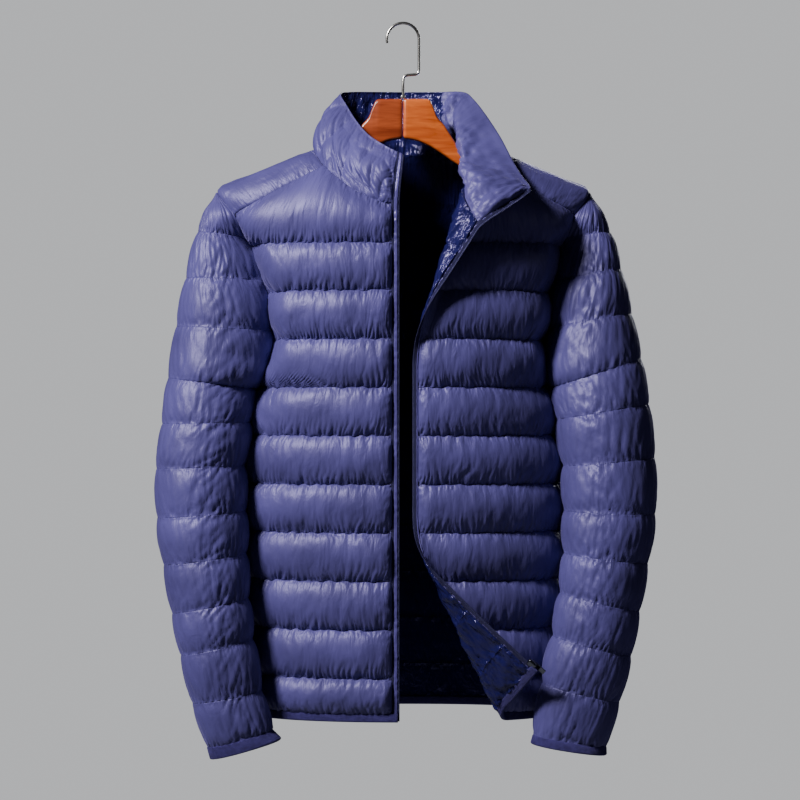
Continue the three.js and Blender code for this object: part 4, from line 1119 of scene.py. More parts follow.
@dataclass(frozen=True)
class WoodFinish:
    """Stained and varnished wood.

    Attributes:
        name: the material's name.
        dark: the grain's dark, linear.
        light: the grain's light, linear.
        turn: the grain's angle in the hanger's plane, in radians.
    """

    name: str
    dark: tuple[float, float, float]
    light: tuple[float, float, float]
    turn: float

    def material(self) -> bpy.types.Material:
        """Builds the material."""
        made = bpy.data.materials.new(self.name)
        pen = NodePen(made)
        turned = pen.node("ShaderNodeMapping")
        turned.inputs["Rotation"].default_value = (0, self.turn, 0)
        turned.inputs["Scale"].default_value = (9, 60, 60)
        pen.join(pen.place(), turned.inputs["Vector"])
        vector = turned.outputs["Vector"]
        grain = pen.noise(vector, 1.6, 5, 1.1)
        fine = pen.noise(pen.scaled(vector, (2, 12, 12)), 2.2, 4, 0.2)
        both = pen.math("ADD", pen.math("MULTIPLY", grain, 0.75), pen.math("MULTIPLY", fine, 0.25))
        middle = tuple(mix(a, b, 0.5) for a, b in zip(self.dark, self.light))
        colour = pen.ramp(both, [(0.32, self.dark), (0.5, middle), (0.66, self.light)])
        normal = pen.bump(fine, 0.0002, 0.25)
        pen.surface(
            colour, pen.range(grain, 0.28, 0.42), normal,
            Coat_Weight=0.5, Coat_Roughness=0.15, Specular_IOR_Level=0.5,
        )
        return made


class Finishes:
    """Every material of the jacket and its hanger, built once."""

    def __init__(self) -> None:
        """Builds them."""
        self.shell = NylonFinish("shell_nylon", (0.074, 0.064, 0.215), 0.43, 0.55, 0.0024, 0.25).material()
        self.lining = NylonFinish("lining_nylon", (0.012, 0.011, 0.078), 0.15, 0.45, 0.007, 0.0).material()
        self.binding = TapeFinish("stretch_binding", (0.075, 0.06, 0.24), 900, 0.5).material()
        self.tape = TapeFinish("zip_tape", (0.026, 0.024, 0.075), 480, 0.6).material()
        self.piping = NylonFinish("zip_piping", (0.09, 0.075, 0.26), 0.3, 0.7, 0.0045, 0.3).material()
        self.thread = TapeFinish("sewing_thread", (0.06, 0.06, 0.22), 2500, 0.45).material()
        self.coil = NylonFinish("zip_coil", (0.03, 0.03, 0.09), 0.35, 0.5, 0.0001, 0).material()
        self.metal = MetalFinish("zip_metal", (0.13, 0.135, 0.17), 0.24).material()
        self.steel = MetalFinish("hook_nickel", (0.78, 0.76, 0.72), 0.22).material()
        # The right half's wood is the left half's at about half the brightness: painted shade over that whole half
        self.wood_right_painted_shade = WoodFinish("wood_right_painted_shade", (0.22, 0.032, 0.008), (0.46, 0.085, 0.02), 0.35).material()
        self.wood_left = WoodFinish("wood_left", (0.42, 0.062, 0.008), (0.78, 0.17, 0.025), -0.35).material()


FINISHES = Finishes()


def band_rows(first: int, last: int, steps: int) -> Array:
    """Rows from one quilt line to another, closer together near the lines."""
    part = (1 - np.cos(np.pi * np.arange(steps) / steps)) / 2
    return np.concatenate([np.add.outer(np.arange(first, last), part).ravel(), [last]])


def eased_shares(count: int, ease: float = 0.6) -> Array:
    """Shares from 0 to 1, closer together near both ends."""
    even = np.linspace(0, 1, count)
    return mix(even, (1 - np.cos(np.pi * even)) / 2, ease)


@dataclass
class QuiltedFace:
    """The puffs and gathers of one face of a quilted panel.

    Attributes:
        puff: height of its baffles.
        depth: how strong its gathers are beside the shell's.
        seed: of its gathers.
    """

    puff: float
    depth: float
    seed: int

    def relief(self, row: Array, across: Array, heights: Array, edges: Sequence[tuple[Array, float, Gathers]]) -> Array:
        """Heights of the face over its wall.

        Args:
            row: quilt coordinate of each place, whole numbers on the quilt lines.
            across: distance along the row, in millimetres.
            heights: height of each place's baffle.
            edges: for each sewn edge, the distance from it, the width of its roll and its gathers.

        Returns:
            Heights, in millimetres.
        """
        noise, fine = Noise(self.seed), Noise(self.seed + 1)
        band = np.minimum(np.floor(row), np.ceil(row.max()) - 1)
        part = row - band
        uneven = 1 + 0.16 * noise.at(across / 46, band * 3.7 + part * 0.8) + 0.05 * noise.at(across / 17, band * 9.1)
        rise = crown(part**0.93) * uneven
        for distance, width, _ in edges:
            rise = rise * edge_rise(distance, width)
        lumps = 0.5 * noise.at(across / 22 + 40, row * 2.1) * rise
        top, bottom = part * heights, (1 - part) * heights
        gathers = LOWER_EDGE.relief(noise, across, bottom, band + 0.31)
        gathers = gathers + UPPER_EDGE.relief(noise, across, top, band + 0.77)
        gathers = gathers + FINE_EDGE.relief(fine, across, np.minimum(top, bottom), band * 1.3 + 0.1)
        drawn = creased(noise, across / 15 + 90, row * 1.3 + across / 60) * np.sin(np.pi * part) ** 1.5
        gathers = gathers + 0.7 * drawn * smooth(part / 0.6)
        down = row * heights
        for number, (distance, _, pleats) in enumerate(edges):
            gathers = gathers + pleats.relief(fine, down, distance, np.full_like(distance, 17.3 + number))
        return np.maximum(self.puff * (rise + lumps * 0.1) + self.depth * gathers, -0.8)


def seam_nearness(*distances: Array) -> Array:
    """1 on a sewn line, falling away within some millimetres."""
    return np.exp(-np.minimum.reduce(np.broadcast_arrays(*distances)) / 7)


class FrontPanel:
    """One front of the jacket, folded out at its zip where it hangs so."""

    COLUMNS = 213
    STEPS = 26

    def __init__(self, side: Side) -> None:
        """Lays out the panel.

        Args:
            side: the wearer's side.
        """
        self.side = side
        shares = eased_shares(self.COLUMNS, 0.45)
        self.rows = band_rows(0, BAFFLES + 1, self.STEPS)
        share, row = np.meshgrid(shares, self.rows)
        self.row = row
        self.x, self.z = TORSO_FORM.front_flat(side, share, row)
        points = TORSO_FORM.front(side, side.value * self.x, self.z)
        points[:, -1, 1] += SEAM_GAP / 2
        flat = stack(self.x, TORSO_FORM.y(self.x, self.z, True), self.z)
        self.across = ClothGrid.of(flat, 1).across
        from_side = self.across[:, -1:] - self.across
        points[..., 1] += valley(from_side, self.z, VALLEY_FRONT)
        inland = edge_rise(np.minimum(self.across, from_side), 20) * (row < BAFFLES + 0.9)
        points[..., 2] += 2.5 * (1 - smooth(row / 0.12))
        points[..., 2] += 2.0 * inland * Noise(7).at(self.across / 8, row * 2.3) * smooth(row)
        self.grid = ClothGrid.of(points, 1 if side is Side.RIGHT else -1)
        self.outer = self.raised(Face.SHELL)

    def raised(self, face: Face) -> Array:
        """The panel's places on one face."""
        from_zip = self.across
        from_side = self.across[:, -1:] - self.across
        heights = np.where(self.row < 1, np.abs(self.z[0] - FIRST_LINE_Z) + 8, BAFFLE_HEIGHT)
        roll = 1 - 0.6 * TORSO_FORM.fold_nearness(self.side, self.side.value * self.x, self.z)
        seed = 11 if self.side is Side.RIGHT else 23
        if face is Face.SHELL:
            made = QuiltedFace(BODY_PUFF, 1.0, seed)
            side_roll = mix(10, 24, smooth((self.z - ARMPIT_Z + 10) / 50))
            edges = [(from_zip, 15, ZIP_EDGE), (from_side, side_roll, SIDE_EDGE)]
            height = WALL + made.relief(self.row, self.across, heights, edges) * roll
            return self.grid.points + self.grid.normals * height[..., None]
        made = QuiltedFace(LINING_PUFF, 1.0, seed + 5)
        facing = np.abs(from_zip - 13)
        edges = [(from_zip, 6, ZIP_EDGE), (from_side, 16, SIDE_EDGE)]
        height = made.relief(self.row, self.across, heights, edges)
        height = height - 1.2 * np.exp(-((facing / 1.6) ** 2))
        height = height + ZIP_EDGE.relief(Noise(seed + 9), self.row * heights, facing, facing * 0) * 1.4
        height = height + 1.3 * crumple(seed + 13, self.across * 1.5, self.row * heights * 1.3) + 3.0
        return self.grid.points - self.grid.normals * np.maximum(height, -0.4)[..., None]

    def build(self) -> bpy.types.Object:
        """Makes the panel's wall."""
        part = self.row % 1
        nearness = seam_nearness(part * BAFFLE_HEIGHT, (1 - part) * BAFFLE_HEIGHT, self.across)
        uvs = np.stack([self.across + 500 * (self.side.value + 1), -self.row * BAFFLE_HEIGHT], axis=-1)
        wall = ClothWall()
        wall.add_grid(wall.add_places(self.outer, self.raised(Face.LINING), uvs, nearness))
        node = f"front_{self.side.word}"
        piece = wall.build(f"{node}_quilted", [FINISHES.shell, FINISHES.lining])
        return dressed(piece, "garment", "shell", node)


class BackPanel:
    """The back, with the parts of it that come forward over the shoulders."""

    COLUMNS = 131
    STEPS = 22
    FORWARD_STEPS = 32

    def __init__(self) -> None:
        """Lays out the panel."""
        even = eased_shares(self.COLUMNS, 0.2)
        nearest = 2 * round(int(np.argmin(np.abs(even - NECK_SHARE))) / 2)
        half = np.interp(np.arange(self.COLUMNS), [0, nearest, self.COLUMNS - 1], [0, NECK_SHARE, 1])
        self.shares = np.concatenate([-half[:0:-1], half])
        self.rows = band_rows(0, BAFFLES + 2, self.STEPS)
        share, row = np.meshgrid(self.shares, self.rows)
        self.share, self.row = share, row
        x, z = TORSO_FORM.back_flat(share, row)
        points = stack(x, TORSO_FORM.y(x, z, False), z)
        points[:, [0, -1], 1] -= np.where(z[:, [0, -1]] < BACK_YOKE_LINE_Z, SEAM_GAP / 2, 0)
        across = ClothGrid.of(points, 1).across
        points[..., 1] -= valley(np.minimum(across, across[:, -1:] - across), z, VALLEY_BACK)
        self.z = z
        self.grid = ClothGrid.of(points, 1)
        top = np.abs(self.shares) >= NECK_SHARE - 1e-9
        self.grid.normals[0, top] = (0, 0, 1)
        blend = smooth(1 - self.rows / 0.35)[:, None, None] * top[None, :, None]
        self.grid.normals[:] = unit(mix(self.grid.normals, np.array([0.0, 0, 1]), blend * 0.7))
        self.outer = self.raised(Face.SHELL)
        self.inner = self.raised(Face.LINING)

    def raised(self, face: Face) -> Array:
        """The panel's places on one face."""
        width = self.grid.width
        edge = np.minimum(self.grid.across, width - self.grid.across)
        heights = np.where(self.row < 1, 58.0, BAFFLE_HEIGHT)
        made = QuiltedFace(BODY_PUFF, 1.0, 41) if face is Face.SHELL else QuiltedFace(LINING_PUFF, 0.8, 47)
        armhole = smooth((self.z - ARMPIT_Z + 10) / 50) * smooth((SHOULDER_END_Z + 39 - self.z) / 60)
        side_roll = mix(10, 24, armhole)
        relief = made.relief(self.row, self.grid.across, heights, [(edge, side_roll, SIDE_EDGE)])
        if face is Face.LINING:
            return self.grid.points - self.grid.normals * np.maximum(relief, -0.4)[..., None]
        over = np.clip((np.abs(self.share) - NECK_SHARE) * 12, 0, 1) * YOKE_PUFF * edge_rise(edge, 9)
        relief = np.where(self.row < 1, np.maximum(relief, over * (1 - smooth(self.row / 0.9))), relief)
        return self.grid.points + self.grid.normals * (WALL + relief)[..., None]

    def forward(self, wall: ClothWall, side: Side, ids: Array) -> None:
        """Adds the part beyond one shoulder's line."""
        chosen = np.where(self.shares * side.value >= NECK_SHARE - 1e-9)[0]
        share = np.abs(self.shares[chosen])
        row = np.linspace(0, 1, self.FORWARD_STEPS + 1)
        shares, rows = np.meshgrid(share, row)
        x, z = TORSO_FORM.forward_flat(side, shares, rows)
        points = stack(side.value * x, TORSO_FORM.y(x, z, True), z)
        grid = ClothGrid.of(points, -1)
        blend = smooth(1 - rows / 0.4)[..., None] * 0.7
        grid.normals[:] = unit(mix(grid.normals, np.array([0.0, 0, 1]), blend))
        noise = Noise(61 + side.value)
        inner = np.minimum(shares - NECK_SHARE, 1 - shares) * SHOULDER_TIP_X
        puff = YOKE_PUFF * edge_rise(inner, mix(9, 22, smooth(rows))) * edge_rise(1 - rows, 0.6)
        puff = puff * (1 + 0.15 * noise.at(grid.across / 30, rows * 2))
        puff = puff + UPPER_EDGE.relief(noise, grid.across, (1 - rows) * 62, rows * 0 + 3.3)
        puff = puff + 0.8 * creased(noise, grid.across / 34 + rows, rows * 2.2) * np.minimum(1, inner / 9) * smooth(rows / 0.6)
        puff = puff * smooth(rows / 0.1)
        start = self.outer[0, chosen] - self.grid.points[0, chosen]
        outer = grid.points + grid.normals * (WALL + puff)[..., None]
        ease = (1 - smooth(rows / 0.35))[..., None]
        outer = mix(outer, grid.points + start[None], ease)
        inside = mix(grid.points, grid.points + (self.inner[0, chosen] - self.grid.points[0, chosen])[None], ease)
        uvs = np.stack([grid.across + 900, rows * 62], axis=-1)
        made = wall.add_places(outer[1:], inside[1:], uvs[1:], seam_nearness((1 - rows[1:]) * 62))
        full = np.concatenate([ids[:1, chosen], made])
        wall.add_grid(full[::-1])

    def build(self) -> bpy.types.Object:
        """Makes the panel's wall."""
        part = self.row % 1
        width = self.grid.width
        edge = np.minimum(self.grid.across, width - self.grid.across)
        nearness = seam_nearness(part * BAFFLE_HEIGHT, (1 - part) * BAFFLE_HEIGHT, edge)
        uvs = np.stack([self.grid.across - width / 2, -self.row * BAFFLE_HEIGHT], axis=-1)
        wall = ClothWall()
        ids = wall.add_places(self.outer, self.inner, uvs, nearness)
        wall.add_grid(ids)
        for side in Side:
            self.forward(wall, side, ids)
        piece = wall.build("back_quilted", [FINISHES.shell, FINISHES.lining])
        return dressed(piece, "garment", "shell", "back")


class Sleeve:
    """One sleeve: an open cap that runs into a closed tube."""

    COLUMNS = 177
    STEPS = 22

    def __init__(self, side: Side) -> None:
        """Lays out the sleeve.

        Args:
            side: the wearer's side.
        """
        self.side = side
        self.form = SleeveForm(side)
        turns = np.linspace(-1, 1, self.COLUMNS)
        self.rows = band_rows(0, CUFF_ROW, self.STEPS)
        self.turn, self.row = np.meshgrid(turns, self.rows)
        points = self.form.places(self.row, self.turn)
        self.wrapped = self.rows > ARMPIT_ROW - 1e-6
        self.grid = ClothGrid.of(points, 1 if side is Side.RIGHT else -1, self.wrapped)
        self.outer = self.raised(Face.SHELL)

    def raised(self, face: Face) -> Array:
        """The sleeve's places on one face."""
        width = self.grid.width
        middle = width / 2
        across = np.abs(self.grid.across - middle)
        from_seam = (middle - across) + np.where(self.row > ARMPIT_ROW, (self.row - ARMPIT_ROW) * 300, 0)
        seed = (71 if self.side is Side.RIGHT else 83) + (6 if face is Face.LINING else 0)
        made = QuiltedFace(SLEEVE_PUFF if face is Face.SHELL else 1.8, 0.95, seed)
        lap = self.turn * 150
        heights = np.full_like(self.row, 56.0)
        relief = made.relief(self.row, lap, heights, [(from_seam, 22, SIDE_EDGE)])
        closing = smooth((np.abs(self.turn) - 0.86) / 0.14)
        other = relief[:, ::-1]
        relief = mix(relief, (relief + other) / 2, closing)
        crown_row = smooth(self.row / 0.6)
        if face is Face.LINING:
            return self.grid.points - self.grid.normals * np.clip(relief * crown_row, -0.3, 1.6)[..., None]
        long_folds = 1.2 * creased(Noise(seed + 3), lap / 11 + self.row * 0.5, self.row * 0.9) * crown(self.row % 1)
        slant = creased(Noise(seed + 4), (lap * 0.75 - self.row * 38) / 9, (lap * 0.6 + self.row * 42) / 30)
        ragged = 2.2 * slant * np.exp(-(((self.turn + 0.58) / 0.13) ** 2)) * smooth(self.row - 0.6)
        smoothed = 1 - 0.4 * np.exp(-((self.turn / 0.22) ** 2))
        height = WALL + np.maximum((relief + long_folds) * smoothed + ragged, -0.8) * crown_row
        return self.grid.points + self.grid.normals * height[..., None]

    def build(self) -> bpy.types.Object:
        """Makes the sleeve's wall."""
        part = self.row % 1
        nearness = seam_nearness(part * 56, (1 - part) * 56)
        uvs = np.stack([self.turn * 150 + 1400, -self.row * 56], axis=-1)
        wall = ClothWall()
        ids = wall.add_places(self.outer, self.raised(Face.LINING), uvs, nearness)
        ids[self.wrapped, -1] = ids[self.wrapped, 0]
        wall.add_grid(ids)
        node = f"sleeve_{self.side.word}"
        piece = wall.build(f"{node}_quilted", [FINISHES.shell, FINISHES.lining])
        return dressed(piece, "garment", "shell", node)


def select_only(piece: bpy.types.Object) -> None:
    """Makes a piece the only one selected, and the active one."""
    for other in bpy.context.selected_objects:
        other.select_set(False)
    piece.select_set(True)
    bpy.context.view_layer.objects.active = piece


class Collar:
    """The stand collar, crumpled, its left end folded out."""

    COLUMNS = 329
    ROWS = 91
    LINED_TO = 50
    STITCHED_ROW = 7

    def __init__(self) -> None:
        """Lays out the collar."""
        self.form = CollarForm()
        at = np.linspace(0, len(COLLAR) - 1, self.COLUMNS)
        share = eased_shares(self.ROWS, 0.5)
        self.at, self.share = np.meshgrid(at, share)
        self.grid = ClothGrid.of(self.form.places(self.at, mix(-0.035, 1, self.share)), -1)
        self.length = self.grid.across[self.ROWS // 2]
        self.outer = self.raised(Face.SHELL)

    def crumple(self, seed: int) -> Array:
        """Irregular creases over the collar."""
        return 1.5 * crumple(seed, 0.58 * self.length[None, :] * np.ones_like(self.share), self.share * 45)

    def raised(self, face: Face) -> Array:
        """The collar's places on one face."""
        length = self.length[None, :]
        from_end = np.minimum(length, length[:, -1:] - length) * np.ones_like(self.share)
        below, above = self.share * 78, (1 - self.share) * 78
        body = np.sin(np.pi * self.share) * edge_rise(from_end, 12)
        seed = 101 if face is Face.SHELL else 113
        noise = Noise(seed + 4)
        along_mm = length * np.ones_like(self.share)
        gathers = UPPER_EDGE.relief(noise, along_mm, below, self.share * 0 + 0.2)
        gathers = gathers + UPPER_EDGE.relief(noise, along_mm, above, self.share * 0 + 5.2)
        gathers = gathers + 0.6 * ZIP_EDGE.relief(noise, below, from_end, self.share * 0 + 2.4)
        tight = 1 - 0.7 * np.exp(-(((self.at - 11.3) / 0.9) ** 2))
        puff = (COLLAR_PUFF + 2.4) * body if face is Face.SHELL else 6 * body + 4 * np.minimum(1, body * 2.5)
        height = puff + self.crumple(seed) * np.minimum(1, body * 1.6) * 1.35 + gathers
        if face is Face.LINING:
            across = creased(Noise(127), along_mm / 13 + below / 45, below / 70)
            across = across + 0.6 * creased(Noise(131), along_mm / 8 - below / 30, below / 25)
            height = height + 4.4 * across * np.minimum(1, body * 2) * (0.25 + 0.75 * smooth(from_end / 30))
            return self.grid.points - self.grid.normals * (np.maximum(height, -0.3) * tight)[..., None]
        return self.grid.points + self.grid.normals * (WALL + np.maximum(height, -0.8))[..., None]

    def build(self) -> bpy.types.Object:
        """Makes the collar's wall."""
        uvs = np.stack([self.length[None, :] * np.ones_like(self.share) + 2200, self.share * 78], axis=-1)
        nearness = seam_nearness(self.share * 78, (1 - self.share) * 78)
        wall = ClothWall()
        wall.add_grid(wall.add_places(self.outer, self.raised(Face.LINING), uvs, nearness))
        piece = wall.build("collar_stand", [FINISHES.shell, FINISHES.shell])
        piece.data.materials.append(FINISHES.lining)
        for polygon in piece.data.polygons:
            if polygon.material_index == 1 and polygon.center.x < self.LINED_TO * MM:
                polygon.material_index = 2
        return dressed(piece, "garment", "shell", "collar")


class Spine(NamedTuple):
    """Places along an edge, each with a direction across it and one out of the cloth."""

    place: Array
    across: Array
    out: Array


def swept(name: str, spine: Spine, profile: Array, materials: Sequence[bpy.types.Material], slots: Array | None = None, closed: bool = False) -> bpy.types.Object:
    """Makes a bar of one section along a spine.

    Args:
        name: the piece's name.
        spine: where it runs.
        profile: corners of its section, across and out, in millimetres.
        materials: its materials.
        slots: material of each side of the section.
        closed: whether the last place joins the first.

    Returns:
        The piece.
    """
    count, sides = len(spine.place), len(profile)
    points = (
        spine.place[:, None]
        + spine.across[:, None] * profile[None, :, :1]
        + spine.out[:, None] * profile[None, :, 1:]
    )
    ids = np.arange(count * sides).reshape(count, sides)
    around = np.concatenate([ids, ids[:, :1]], axis=1)
    if closed:
        around = np.concatenate([around, around[:1]])
    quads = np.stack([around[:-1, :-1], around[:-1, 1:], around[1:, 1:], around[1:, :-1]], axis=-1).reshape(-1, 4)
    steps = np.linalg.norm(np.diff(points[:, 0], axis=0), axis=-1)
    run = np.concatenate([[0], np.cumsum(steps)])
    girth = np.concatenate([[0], np.cumsum(np.linalg.norm(np.diff(profile, axis=0), axis=-1))])
    uvs = np.stack(np.broadcast_arrays(girth[None, :], run[:, None]), axis=-1).reshape(-1, 2)
    face_slots = np.tile(np.zeros(sides, int) if slots is None else slots, len(around) - 1)
    if not closed:
        caps = []
        for ring, turn in ((ids[0], 1), (ids[-1], -1)):
            for k in range(1, sides - 1, 2):
                corners = [ring[0], ring[k], ring[min(k + 1, sides - 1)], ring[min(k + 2, sides - 1)]]
                caps.append(corners[:: -turn] if turn == 1 else corners)
        quads = np.concatenate([quads, np.array(caps)])
        face_slots = np.concatenate([face_slots, np.zeros(len(caps), int)])
    flat = points.reshape(-1, 3)
    return mesh_piece(name, flat, quads, materials, face_slots, uvs, {"seam": np.zeros(len(flat))})


def rounded_profile(width: float, thick: float, radius: float, start: float = 0.0, base: float = 0.0, steps: int = 4) -> Array:
    """A rectangle with round corners, across and out.

    Args:
        width: its size across.
        thick: its size out of the cloth.
        radius: of its corners.
        start: where it begins across.
        base: where it begins outwards.
        steps: places in each corner.

    Returns:
        Its corners in order.
    """
    points = []
    centres = [(width - radius, radius), (width - radius, thick - radius), (radius, thick - radius), (radius, radius)]
    for quarter, (x, y) in enumerate(centres):
        for k in range(steps):
            angle = math.pi / 2 * (quarter - 1 + k / (steps - 1))
            points.append((start + x + radius * math.cos(angle), base + y + radius * math.sin(angle)))
    return np.array(points)


class Bindings:
    """The stretch bindings round the hem and the cuffs."""

    def hem_edge(self, top: Array, bottom: Array, sign: float) -> Spine:
        """A spine along a panel's lower edge, its across direction down."""
        grid = ClothGrid.of(np.stack([top, bottom]), sign)
        out = grid.normals[0]
        down = unit(bottom - top)
        return Spine(top + out * 1.0, down, unit(out - down * (out * down).sum(-1, keepdims=True)))

    def profile(self, height: float, seed: int) -> Array:
        """The binding's section, a soft rounded fold."""
        return rounded_profile(height + 2.4, BINDING_THICK, 2.1, -2.4, -BINDING_THICK / 2, 5)

    def front(self, side: Side) -> bpy.types.Object:
        """The binding under one front."""
        share = np.linspace(-0.02, 1, 150)
        x, _ = TORSO_FORM.front_flat(side, share, np.full_like(share, BAFFLES + 1.0))
        top = TORSO_FORM.front(side, side.value * x, np.full_like(x, HEM_SEAM_Z - SEAM_GAP))
        bottom = TORSO_FORM.front(side, side.value * x, np.full_like(x, HEM_BOTTOM_Z))
        top[-1, 1] -= SEAM_GAP / 2
        bottom[-1, 1] -= SEAM_GAP / 2
        spine = self.hem_edge(top, bottom, 1 if side is Side.RIGHT else -1)
        return self.finished(f"hem_binding_{side.word}", spine, HEM_SEAM_Z - SEAM_GAP - HEM_BOTTOM_Z, 3)

    def back(self) -> bpy.types.Object:
        """The binding under the back."""
        share = np.linspace(-1, 1, 260)
        x, _ = TORSO_FORM.back_flat(share, np.full_like(share, BAFFLES + 2.0))
        levels = [np.full_like(x, z) for z in (HEM_SEAM_Z - SEAM_GAP, HEM_BOTTOM_Z)]
        top, bottom = (stack(x, TORSO_FORM.y(x, z, False), z) for z in levels)
        for edge in (top, bottom):
            edge[[0, -1], 1] += SEAM_GAP / 2
        return self.finished("hem_binding_back", self.hem_edge(top, bottom, 1), HEM_SEAM_Z - SEAM_GAP - HEM_BOTTOM_Z, 5)

    def cuff(self, side: Side) -> bpy.types.Object:
        """The binding round one cuff."""
        form = SleeveForm(side)
        turn = np.linspace(-1, 1, 161)[:-1]
        middle = SLEEVE_INSET - WALL / 2
        top = form.inset(np.full_like(turn, CUFF_ROW + 0.03), turn, np.full_like(turn, middle))
        bottom = form.inset(np.full_like(turn, CUFF_ROW + 1.0), turn, np.full_like(turn, middle))
        centre = top.mean(axis=0)
        down = unit(bottom - top)
        out = unit(top - centre)
        out = unit(out - down * (out * down).sum(-1, keepdims=True))
        height = float(np.linalg.norm(bottom - top, axis=-1).mean())
        return self.finished(f"cuff_binding_{side.word}", Spine(top, down, out), height, 7, True)

    def finished(self, node: str, spine: Spine, height: float, seed: int, closed: bool = False) -> bpy.types.Object:
        """Sweeps a binding, gathers it slightly and dresses it."""
        noise = Noise(200 + seed)
        run = np.concatenate([[0], np.cumsum(np.linalg.norm(np.diff(spine.place, axis=0), axis=-1))])
        sway = 0.25 * noise.at(run / 14, 0 * run)[:, None]
        shifted = Spine(spine.place + spine.out * sway, spine.across, spine.out)
        piece = swept(f"{node}_folded", shifted, self.profile(height, seed), [FINISHES.binding], None, closed)
        return dressed(piece, "garment", "binding", node)


class ZipSpine:
    """The line along a front's edge and up the collar's end."""

    def __init__(self, side: Side) -> None:
        """Works out the line.

        Args:
            side: the wearer's side.
        """
        self.side = side
        sign = side.value
        rows = np.concatenate([np.arange(BAFFLES + 1, 1, -0.035), np.arange(1, 0.1, -0.035), [0.1]])
        zero = np.zeros_like(rows)
        x, z = TORSO_FORM.front_flat(side, zero, rows)
        foot = HEM_BOTTOM_Z + (SLIDER_LENGTH if side is Side.LEFT else 1.5)
        z = np.where(rows >= BAFFLES + 1, foot, z)
        keep = z >= foot - 1e-6
        x, z = x[keep], z[keep]
        at = TORSO_FORM.front(side, sign * x, z)
        inside = TORSO_FORM.front(side, sign * (x + 2), z)
        below = TORSO_FORM.front(side, sign * x, z - 2)
        across = unit(at - inside)
        out = unit(np.cross(below - at, across)) * -sign
        collar = CollarForm()
        end = 0.0 if side is Side.RIGHT else len(COLLAR) - 1.0
        share = np.linspace(0.08, 1, 26)
        top = collar.places(np.full_like(share, end), share)
        near = collar.places(np.full_like(share, end + (0.2 if side is Side.RIGHT else -0.2)), share)
        lower = collar.places(np.full_like(share, end), share - 0.05)
        top_across = unit(top - near)
        top_out = unit(np.cross(lower - top, top_across)) * -sign
        self.spine = Spine(
            self.evened(np.concatenate([at, top])),
            unit(self.evened(np.concatenate([across, top_across]))),
            unit(self.evened(np.concatenate([out, top_out]))),
        )

    @staticmethod
    def evened(values: Array, rounds: int = 2) -> Array:
        """Values with small steps between neighbours eased."""
        for _ in range(rounds):
            values[1:-1] = (values[:-2] + 2 * values[1:-1] + values[2:]) / 4
        return values

    def at_steps(self, step: float, shift: float, lift: float) -> Spine:
        """The line again with even steps, moved across and out.

        Args:
            step: from place to place, in millimetres.
            shift: moved across the tape.
            lift: moved out of the shell.

        Returns:
            The new line.
        """
        place = self.spine.place + self.spine.across * shift + self.spine.out * lift
        run = np.concatenate([[0], np.cumsum(np.linalg.norm(np.diff(place, axis=0), axis=-1))])
        wanted = np.arange(step / 2, run[-1], step)
        parts = [np.stack([np.interp(wanted, run, v[:, k]) for k in range(3)], axis=-1) for v in (place, self.spine.across, self.spine.out)]
        return Spine(parts[0], unit(parts[1]), unit(parts[2]))


class Zip:
    """The zip: tapes with piping and coils."""

    def tape(self, side: Side, line: ZipSpine) -> None:
        """One tape with its piping and coil."""
        width = TAPE_WIDTH_RIGHT if side is Side.RIGHT else TAPE_WIDTH_LEFT
        profile = rounded_profile(width + 2, TAPE_THICK - 0.5, 0.4, TAPE_GAP - 2, 0.2, 3)
        run = float(np.linalg.norm(np.diff(line.spine.place, axis=0), axis=-1).sum())
        node = f"zip_tape_{side.word}"
        piece = swept(f"{node}_woven", line.spine, profile, [FINISHES.tape])
        dressed(piece, "garment", "zip_tape", node)
        if side is Side.RIGHT:
            piping = rounded_profile(4.2, 2.2, 1.0, 2.6, 0.3, 4)
        else:
            piping = rounded_profile(1.6, 1.9, 0.7, 0.4, 0.2, 4)
        place, across, out = line.spine
        length = np.concatenate([[0], np.cumsum(np.linalg.norm(np.diff(place, axis=0), axis=-1))])
        sway = Noise(301).at(length / 5, 0 * length)[:, None], Noise(302).at(length / 4, 0 * length)[:, None]
        puckered = Spine(place + out * sway[0] * 0.7 + across * sway[1] * 0.5, across, out)
        cord = swept(f"zip_piping_{side.word}", puckered, piping, [FINISHES.piping])
        dressed(cord, "garment", "zip_tape")
        self.coil(side, line, width)

    def coil(self, side: Side, line: ZipSpine, width: float) -> None:
        """The coil's turns along the tape's edge."""
        pitch = 1.5
        spine = line.at_steps(pitch, TAPE_GAP + width - 1.5, TAPE_THICK / 2 - 0.05)
        turn = rounded_profile(2.6, 1.5, 0.6, -1.2, -0.75, 3)
        down = unit(np.cross(spine.across, spine.out))
        count, sides = len(spine.place), len(turn)
        rings = []
        for along_mm, scale in ((-0.5, 0.7), (0.0, 1.0), (0.5, 0.7)):
            rings.append(
                spine.place[:, None]
                + down[:, None] * along_mm
                + spine.across[:, None] * (turn[None, :, :1] * scale)
                + spine.out[:, None] * (turn[None, :, 1:] * scale)
            )
        points = np.stack(rings, axis=1).reshape(-1, 3)
        ids = np.arange(3 * sides).reshape(3, sides)
        around = np.concatenate([ids, ids[:, :1]], axis=1)
        quads = np.stack([around[:-1, :-1], around[:-1, 1:], around[1:, 1:], around[1:, :-1]], axis=-1).reshape(-1, 4)
        caps = [[r[0], r[k], r[k + 1], r[min(k + 2, sides - 1)]] for r in (ids[0][::-1], ids[2]) for k in range(1, sides - 1, 2)]
        one = np.concatenate([quads, np.array(caps)])
        faces = (one[None] + np.arange(count)[:, None, None] * 3 * sides).reshape(-1, 4)
        uvs = np.tile(np.linspace(0, 4, 3 * sides)[:, None], (count, 2))
        piece = mesh_piece(f"zip_coil_{side.word}", points, faces, [FINISHES.coil], None, uvs, {"seam": np.zeros(len(points))})
        dressed(piece, "garment", "zip_tape")


